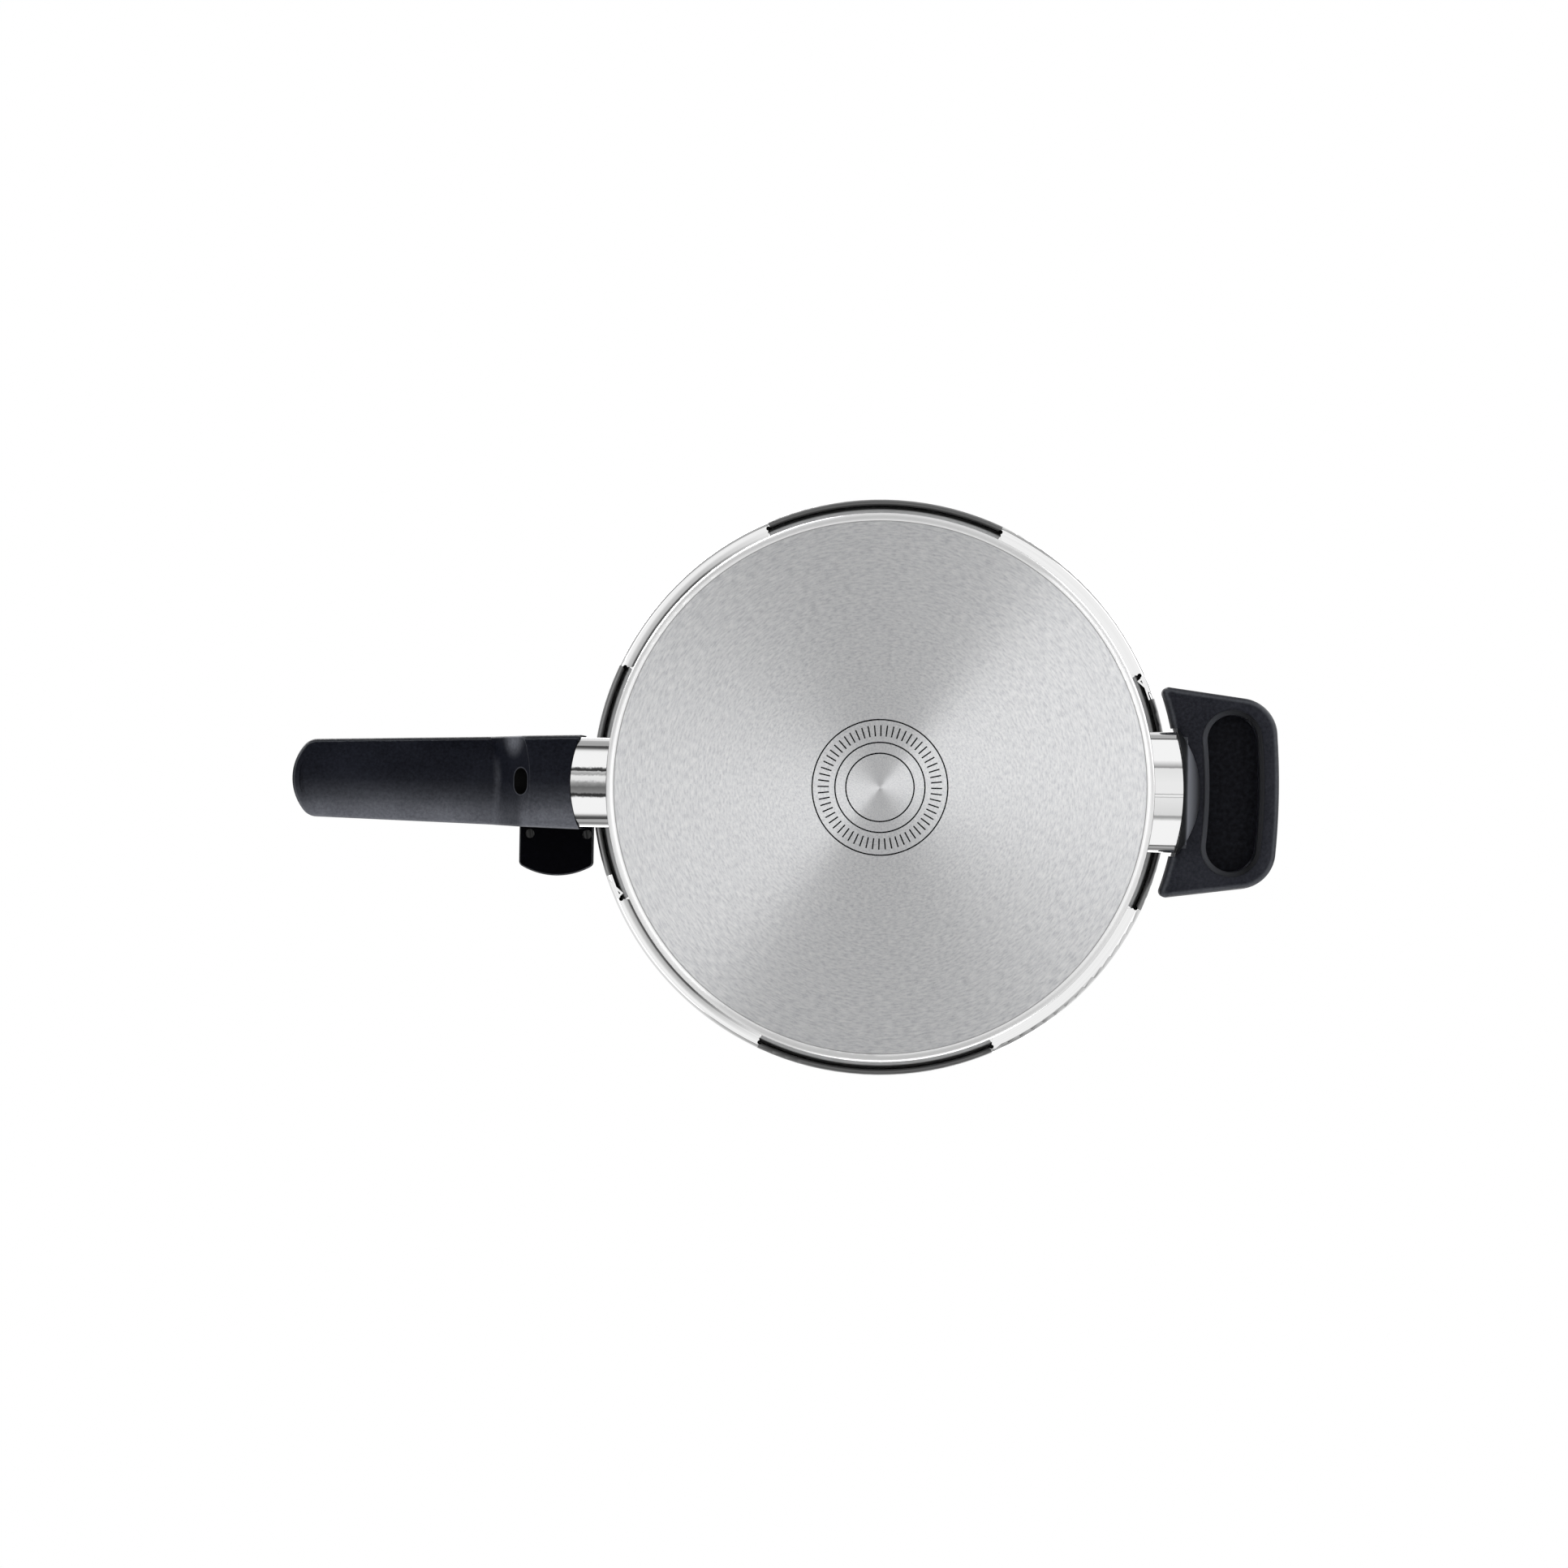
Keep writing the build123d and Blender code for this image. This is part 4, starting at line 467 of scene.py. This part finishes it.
# The oval screw hole has painted shade inside, and its rim a painted highlight.
hole_level = 0.0887
hole_straight = 0.0013
hole_radius = 0.0042
slope_start_x = -0.1458
past_straight = calculate(tree, "SUBTRACT", calculate(tree, "ABSOLUTE", spot.y), hole_straight, clamp=True)
over_level = calculate(tree, "SUBTRACT", spot.z, hole_level)
from_hole = distance_between(tree, place_of(tree, past_straight, over_level))
mouth_inside, mouth_outside = hole_radius - 0.0008, hole_radius + 0.0012
hole_part = spread(tree, from_hole, mouth_inside, mouth_outside)
on_slope = calculate(tree, "LESS_THAN", spot.x, slope_start_x)
rim_highlight_band = ramp(tree, hole_part, [(0.40, 0.0), (0.45, 0.28), (0.62, 0.28), (0.72, 0.0)])
lay_over(tree, both(tree, rim_highlight_band, on_slope), painted_sheen_tone, roughness=0.4)
hole_shade_band = ramp(tree, hole_part, [(0.0, 1.0), (0.41, 1.0), (0.44, 0.0)])
hole_shade_tone = ramp(tree, bloom, [(0.3, 0.0003), (0.8, 0.0015)])
lay_over(tree, both(tree, hole_shade_band, on_slope), hole_shade_tone, roughness=0.7)
finish_copy(pot_grip, grip_black, crisp_angle=32)
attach(pot_grip, "pot")
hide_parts("pot_handle")
screw_steel = polished_steel("screw_steel", tone=0.5, roughness=(0.2, 0.34))
dress(screw_steel, "pot_handle_screw")


# Helper handle: moulded like the long grip, with a finger pocket underneath and a boss that closes its guard.
# It slides over its bracket, and one screw from above holds it.
def cool_greys(stops):
    """Stops of slightly blue greys."""
    return [(part, (0.92 * tone, 0.96 * tone, 1.08 * tone)) for part, tone in stops]


handle_edge_highlight = (0.12, 0.127, 0.145)
side_black = moulded_plastic(
    "side_black", dark=(0.015, 0.016, 0.022), light=(0.042, 0.044, 0.056), edge=handle_edge_highlight,
    roughness=(0.34, 0.46), grain_strength=0.25, specular=0.06,
)
tree = side_black.node_tree
spot = Spot(tree, coordinates(tree, "Object"))
# The boss carries a painted highlight, a pale band across it along X.
boss_underside = 0.0990
boss_start_x, boss_end_x = 0.1275, 0.1365
boss_highlight_stops = [
    (0.0, 0.02), (0.07, 0.05), (0.15, 0.28), (0.32, 0.19), (0.47, 0.12), (0.62, 0.06), (0.78, 0.02),
    (0.92, 0.005),
]
on_boss = calculate(tree, "LESS_THAN", spot.z, boss_underside)
boss_highlight_tone = ramp(tree, spread(tree, spot.x, boss_start_x, boss_end_x), cool_greys(boss_highlight_stops))
lay_over(tree, on_boss, boss_highlight_tone, roughness=0.28)
# The pocket's rim carries a painted highlight that fades along X.
rim_underside = 0.1000
rim_start_x, rim_end_x = 0.134, 0.162
rim_highlight_stops = [(0.0, 0.10), (0.12, 0.075), (0.4, 0.04), (0.75, 0.012), (1.0, 0.03)]
under_rim = calculate(tree, "LESS_THAN", spot.z, rim_underside)
on_rim = calculate(tree, "SUBTRACT", under_rim, on_boss)
rim_highlight_tone = ramp(tree, spread(tree, spot.x, rim_start_x, rim_end_x), cool_greys(rim_highlight_stops))
lay_over(tree, on_rim, rim_highlight_tone, roughness=0.36)
# The pocket floor carries painted shade, darker than the body, with a random mottle.
pocket_floor = 0.1082
floor_margin = 0.0003
at_floor = calculate(tree, "COMPARE", spot.z, pocket_floor, floor_margin)
nearly_level = -0.9
faces_down = calculate(tree, "LESS_THAN", parts_of(tree, coordinates(tree, "Normal"))[2], nearly_level)
floor_mottle = noise(tree, spot.place, scale=500.0, detail=3.0)
pocket_floor_shade = ramp(tree, floor_mottle, [(0.35, (0.003, 0.003, 0.005)), (0.75, (0.013, 0.014, 0.019))])
lay_over(tree, both(tree, at_floor, faces_down), pocket_floor_shade, roughness=0.5)
dress(side_black, "side_handle")
dress(screw_steel, "side_handle_screw")

# Lid shell: pressed steel with a gasket channel, and a skirt turned in to four claws under the pot's lugs.
# Between the claws only the skirt's cut hem shows, unpolished and with painted shade from dark inside to mid
# grey outside. Two stops are lanced out of it.
# The inner edges of the claws on the handle side carry a painted shadow.
lid_polish = polished_steel("lid_polish", tone=0.84, roughness=(0.05, 0.1))
tree = lid_polish.node_tree
spot = Spot(tree, coordinates(tree, "Object"))
skirt_foot = 0.1268
window_start, window_end = 0.231, 0.769
stop_start, stop_end = 0.364, 0.392
quarter = calculate(tree, "FRACT", calculate(tree, "MULTIPLY_ADD", spot.angle, 2 / pi, 0.5))
in_window = ramp(tree, quarter, [(0.0, 0.0), (window_start, 1.0), (window_end, 0.0)], "CONSTANT")
half = calculate(tree, "FRACT", calculate(tree, "MULTIPLY_ADD", spot.angle, 1 / pi, 0.5))
off_stop = ramp(tree, half, [(0.0, 1.0), (stop_start, 0.0), (stop_end, 1.0)], "CONSTANT")
low_down = calculate(tree, "LESS_THAN", spot.z, skirt_foot)
hem_radius = 0.1198
hem_inside, hem_outside = 0.1200, 0.1232
hem_shade_stops = [(0.0, 0.01), (0.25, 0.04), (0.5, 0.16), (0.78, 0.30), (0.9, 0.22), (1.0, 0.10)]
hem = both(tree, calculate(tree, "GREATER_THAN", spot.distance, hem_radius), low_down)
shaded_hem = both(tree, hem, both(tree, in_window, off_stop))
hem_shade_tone = ramp(tree, spread(tree, spot.distance, hem_inside, hem_outside), hem_shade_stops)
lay_over(tree, shaded_hem, hem_shade_tone, roughness=0.35)
claw_inside, claw_outside = 0.1168, 0.1204
shadow_start_x, shadow_full_x = -0.045, -0.078
claw_shadow_stops = [(0.0, 0.95), (0.30, 0.92), (0.42, 0.5), (0.75, 0.35), (1.0, 0.0)]
claw_shade = ramp(tree, spread(tree, spot.distance, claw_inside, claw_outside), claw_shadow_stops)
handle_side = spread(tree, spot.x, shadow_start_x, shadow_full_x)
on_claw = calculate(tree, "SUBTRACT", low_down, in_window, clamp=True)
shadowed_claw_edge = both(tree, both(tree, on_claw, handle_side), claw_shade)
claw_shadow_tone = ramp(tree, noise(tree, spot.place, scale=160.0, detail=3.0), [(0.3, 0.01), (0.7, 0.05)])
lay_over(tree, shadowed_claw_edge, claw_shadow_tone, roughness=0.2)
dress(lid_polish, "lid_shell")

# Gasket and seals: rings of moulded silicone rubber, grey and black, lightly dusted and matt.
# The gasket is pressed into the lid's channel by hand, and painted shade lies along its outer edge, in the
# gap.
# The seals sit under the screws and valves.
dust, entry, leave = new_group("rubber_dust", {"Vector": "Vector"}, {"Dust": "Float"})
feed(dust, leave["Dust"], noise(dust, entry["Vector"], scale=140.0, detail=4.0))


def rubber(name, dark, light):
    """Matt rubber with a dusty bloom."""
    finish, tree, shader = new_finish(name)
    dusted = use_group(tree, dust, {"Vector": coordinates(tree, "Object")})
    feed(tree, shader.inputs["Base Color"], ramp(tree, dusted["Dust"], [(0.35, dark), (0.7, light)]))
    feed(tree, shader.inputs["Roughness"], drift(tree, dusted["Dust"], 0.5, 0.65))
    return finish


gasket_grey = rubber("gasket_grey", (0.60, 0.605, 0.61), (0.70, 0.705, 0.71))
tree = gasket_grey.node_tree
spot = Spot(tree, coordinates(tree, "Object"))
gap_start, gap_full = 0.1185, 0.1191
in_gap = spread(tree, spot.distance, gap_start, gap_full)
gap_shade_tone = ramp(tree, noise(tree, spot.place, scale=300.0, detail=3.0), [(0.3, 0.004), (0.7, 0.012)])
lay_over(tree, in_gap, gap_shade_tone, roughness=0.6)
dress(gasket_grey, "gasket")
seal_black = rubber("seal_black", (0.03, 0.03, 0.032), (0.05, 0.05, 0.052))
dress(seal_black, "lid_handle_seals", "valve_washer", "safety_valve_ring")

# Lid handle: a moulded base screwed to the lid, and a cover over the lock, held by two screws from below.
# Both are of black plastic with the grain of the pot's handle.
handle_black = moulded_plastic(
    "handle_black", dark=(0.004, 0.005, 0.008), light=(0.018, 0.020, 0.027), edge=handle_edge_highlight,
    roughness=(0.34, 0.46), grain_strength=0.25, specular=0.16,
)
dress(handle_black, "lid_handle_base", "lid_handle_cover")
dress(screw_steel, "cover_screws", "lid_handle_screws")

# Side tab: a flat plastic tongue beside the long handle, deep black and smooth.
# It lies under a ledge of the lid's handle, and two blackened screws from below fix it.
tab_black = moulded_plastic(
    "tab_black", dark=(0.001, 0.001, 0.0015), light=(0.003, 0.003, 0.005), edge=(0.16, 0.165, 0.175),
    roughness=(0.3, 0.4), grain_strength=0.12, specular=0.012,
)
dress(tab_black, "side_tab")
dark_screw = polished_steel("dark_screw", tone=0.035, roughness=(0.3, 0.42))
dress(dark_screw, "side_tab_screws")


# Lid lock: a grey moulded thumb slider pushes a turned steel bolt down against its spring of drawn wire.
# Its flag shows green in the cover's window when the lid is locked, and red when it is not.
def coil_of(node_name, piece_name, finish):
    """Copy of a coil spring of the lid as a new piece, with its finish and its own mesh, carried by the lid.
    """
    coil = copy_of_node(node_name, piece_name)
    finish_copy(coil, finish, crisp_angle=60)
    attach(coil, "lid")
    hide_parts(node_name)
    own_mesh(coil)


slider_grey = moulded_plastic(
    "slider_grey", dark=(0.10, 0.10, 0.105), light=(0.14, 0.14, 0.145), edge=(0.2, 0.2, 0.205),
    roughness=(0.4, 0.5), grain_strength=0.2, specular=0.35,
)
dress(slider_grey, "lock_slider")
flag_colours = moulded_plastic(
    "flag_colours", dark=(0.05, 0.30, 0.10), light=(0.06, 0.36, 0.13), edge=(0.08, 0.40, 0.16),
    roughness=(0.3, 0.4), grain_strength=0.05, specular=0.4,
)
tree = flag_colours.node_tree
spot = Spot(tree, coordinates(tree, "Object"))
flag_turn_x = -0.1315
unlocked = calculate(tree, "LESS_THAN", spot.x, flag_turn_x)
bloom = use_group(tree, grain, {"Vector": spot.place})["Bloom"]
red = ramp(tree, bloom, [(0.3, (0.42, 0.02, 0.02)), (0.75, (0.50, 0.03, 0.025))])
lay_over(tree, unlocked, red, roughness=0.35)
dress(flag_colours, "lock_flag")
dress(bracket_steel, "lock_bolt")
coil_of("bolt_spring", "bolt_coil", bracket_steel)

# Regulating valve: a turned steel body clamped through the lid, and a spring-loaded stem with two dark rings.
# Over it sits a fluted plastic knob whose raised pointer shows the setting.
valve_steel = polished_steel("valve_steel", tone=0.62, roughness=(0.16, 0.26))
dress(valve_steel, "valve_body", "valve_nut")
coil_of("valve_spring", "valve_coil", valve_steel)
stem_steel = polished_steel("stem_steel", tone=0.62, roughness=(0.16, 0.26))
tree = stem_steel.node_tree
spot = Spot(tree, coordinates(tree, "Object"))
stem_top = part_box("valve_stem")[1][2]
ringed_length = 0.008
ring_stops = [(0.0, 0.0), (0.30, 1.0), (0.42, 0.0), (0.62, 1.0), (0.74, 0.0)]
rings = ramp(tree, spread(tree, spot.z, stem_top - ringed_length, stem_top), ring_stops, "CONSTANT")
lay_over(tree, rings, drift(tree, noise(tree, spot.place, scale=500.0), 0.03, 0.06), roughness=0.45)
dress(stem_steel, "valve_stem")
cap_black = moulded_plastic(
    "cap_black", dark=(0.008, 0.009, 0.011), light=(0.02, 0.021, 0.024), edge=(0.06, 0.062, 0.068),
    roughness=(0.36, 0.46), grain_strength=0.25, specular=0.3,
)
dress(cap_black, "valve_cap")
cap_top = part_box("valve_cap")[1][2]
pointer_near = -0.0105
pointer_far = -0.0185
pointer_width = 0.0032
pointer_taper = 0.35
pointer_rise = 0.0004
pointer_sink = 0.0006
pointer_rounding = 0.00025
bpy.ops.object.select_all(action="DESELECT")
bpy.ops.mesh.primitive_cube_add(size=1.0, location=((pointer_near + pointer_far) / 2, 0, cap_top))
cap_pointer = bpy.context.object
cap_pointer.name = "cap_pointer"
cap_pointer.scale = (pointer_near - pointer_far, pointer_width, 2 * pointer_sink)
bpy.ops.object.transform_apply(location=True, rotation=True, scale=True)
mesh = cap_pointer.data
for corner in mesh.vertices:
    corner.select = False
for edge in mesh.edges:
    edge.select = False
for face in mesh.polygons:
    face.select = face.normal.x < -0.9
bpy.context.tool_settings.mesh_select_mode = (False, False, True)
bpy.ops.object.mode_set(mode="EDIT")
bpy.ops.transform.resize(value=(1, pointer_taper, 1))
bpy.ops.mesh.select_all(action="DESELECT")
bpy.ops.object.mode_set(mode="OBJECT")
for corner in mesh.vertices:
    if corner.co.z > cap_top:
        corner.co.z = cap_top + pointer_rise
rounding = cap_pointer.modifiers.new("rounded_edges", "BEVEL")
rounding.width = pointer_rounding
rounding.segments = 3
bpy.ops.object.modifier_apply(modifier=rounding.name)
bpy.ops.object.shade_smooth_by_angle(angle=radians(35))
pointer_pale = moulded_plastic(
    "pointer_pale", dark=(0.62, 0.62, 0.60), light=(0.72, 0.72, 0.70), edge=(0.76, 0.76, 0.74),
    roughness=(0.4, 0.5), grain_strength=0.08, specular=0.4,
)
mesh.materials.append(pointer_pale)
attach(cap_pointer, "cap")

# Safety valve: a small turned body with a nut and a float pin that rises with the pressure.
# The nut clamps it through the lid on its rubber ring.
dress(valve_steel, "safety_valve_body", "safety_valve_nut", "safety_pin")

# Studio floor: a matt pale sheet just under the pot, which only the camera sees, and only from above.
# It fades into the white surroundings, so that no horizon shows.
floor_size = 14
floor_drop = 0.0008
fade_start, fade_end = 0.45, 1.1
bpy.ops.object.select_all(action="DESELECT")
bpy.ops.mesh.primitive_plane_add(size=floor_size, location=(0, 0, -floor_drop))
floor = bpy.context.object
floor.name = "studio_floor"
floor_pale, tree, shader = new_finish("floor_pale")
shader.inputs["Base Color"].default_value = (0.86, 0.86, 0.86, 1)
shader.inputs["Roughness"].default_value = 0.7
spot = Spot(tree, coordinates(tree, "Object"))
seen = tree.nodes.new("ShaderNodeLightPath").outputs["Is Camera Ray"]
underneath = tree.nodes.new("ShaderNodeNewGeometry").outputs["Backfacing"]
from_above = both(tree, seen, calculate(tree, "SUBTRACT", 1.0, underneath))
near = spread(tree, spot.distance, fade_start, fade_end, 1.0, 0.0, interpolation="SMOOTHSTEP")
clear = tree.nodes.new("ShaderNodeBsdfTransparent")
choice = tree.nodes.new("ShaderNodeMixShader")
feed(tree, choice.inputs[0], both(tree, from_above, near))
feed(tree, choice.inputs[1], clear.outputs[0])
feed(tree, choice.inputs[2], shader.outputs[0])
feed(tree, tree.nodes["Material Output"].inputs["Surface"], choice.outputs[0])
floor.data.materials.append(floor_pale)

# Studio light: white surroundings with softer panels round the horizon, which only reflections show.
# A ring low down is bright on two sides, and gives the brushed base its fan of light and shade.
# Three soft lamps stand above the floor.
studio = bpy.data.worlds.new("studio")
bpy.context.scene.world = studio
studio.use_nodes = True
studio.cycles.sampling_method = "NONE"
tree = studio.node_tree
x, y, z = parts_of(tree, coordinates(tree, "Generated"))
height = calculate(tree, "MULTIPLY_ADD", z, 0.5, 0.5)
turn = calculate(tree, "ARCTAN2", y, x)
level_stops = [
    (0.0, 1.02), (0.30, 1.0), (0.40, 0.85), (0.47, 0.6), (0.55, 0.5), (0.64, 0.8), (0.80, 0.92), (0.93, 0.62),
    (1.0, 0.75),
]
level = ramp(tree, height, level_stops)
wing_start = 125
half_turn = calculate(tree, "FRACT", calculate(tree, "MULTIPLY_ADD", turn, 1 / pi, -wing_start / 180))
wing_stops = [
    (0.0, 0.05), (0.03, 3.1), (0.30, 3.1), (0.42, 2.4), (0.55, 1.2), (0.66, 0.2), (0.72, 0.05), (1.0, 0.05),
]
wing = ramp(tree, half_turn, wing_stops)
soft_stops = [(0.0, 0.60), (0.10, 0.92), (0.34, 0.95), (0.62, 0.50), (0.80, 0.40), (1.0, 0.60)]
soft_wing = ramp(tree, half_turn, soft_stops)
low_belt = ramp(tree, height, [(0.19, 0.0), (0.225, 1.0), (0.50, 1.0), (0.58, 0.0)])
ring = ramp(tree, height, [(0.12, 0.0), (0.145, 1.0), (0.19, 1.0), (0.225, 0.0)])
below = blend(tree, ring, blend(tree, low_belt, level, soft_wing, "FLOAT"), wing, "FLOAT")
panel_count = 3.0
wave = calculate(tree, "SINE", calculate(tree, "MULTIPLY", turn, panel_count))
trough, crest = -0.4, 0.3
dim_panel, bright_panel = 0.55, 1.1
panel = spread(tree, wave, trough, crest, dim_panel, bright_panel)
belt = ramp(tree, height, [(0.36, 0.0), (0.45, 1.0), (0.60, 1.0), (0.70, 0.0)])
reflected = calculate(tree, "MULTIPLY", below, blend(tree, belt, 1.0, panel, "FLOAT"))
rays = tree.nodes.new("ShaderNodeLightPath").outputs
shiny = calculate(tree, "MAXIMUM", rays["Is Glossy Ray"], rays["Is Transmission Ray"])
soft_fill = 0.6
surround = blend(tree, shiny, soft_fill, reflected, "FLOAT")
backdrop = 1.0
shown = blend(tree, rays["Is Camera Ray"], surround, backdrop, "FLOAT")
feed(tree, tree.nodes["Background"].inputs["Color"], shown)
lamps = (
    ("lamp_key", (-0.9, -1.1, 1.7), 1.2, 26.0),
    ("lamp_fill", (1.3, -0.7, 1.2), 1.4, 10.0),
    ("lamp_back", (0.3, 1.4, 1.4), 1.2, 12.0),
)
for lamp_name, stand, size, power in lamps:
    bpy.ops.object.light_add(type="AREA", location=stand)
    lamp = bpy.context.object
    lamp.name = lamp_name
    lamp.data.size = size
    lamp.data.energy = power
    lamp.rotation_euler = (-lamp.location).to_track_quat("-Z", "Y").to_euler()

# Camera: straight below the pot and far off, as for a catalogue picture of the underside.
# It is turned by a degree, because the handles slope a little in the picture.
camera_drop = 1.55
camera_roll = -1.0
aim_sideways = 1.4
aim_upwards = 0.05
bpy.ops.object.camera_add()
camera = bpy.context.object
camera.name = "camera"
camera.data.sensor_width = 36.0
camera.data.lens = 90.1
camera.data.clip_end = 50.0
camera.matrix_world = (
    Matrix.Translation((0, 0, -camera_drop))
    @ Matrix.Rotation(radians(camera_roll), 4, "Z")
    @ Matrix.Rotation(pi, 4, "X")
    @ Matrix.Rotation(radians(aim_sideways), 4, "Y")
    @ Matrix.Rotation(radians(aim_upwards), 4, "X")
)
bpy.context.scene.camera = camera
bpy.context.scene.view_settings.view_transform = "Standard"
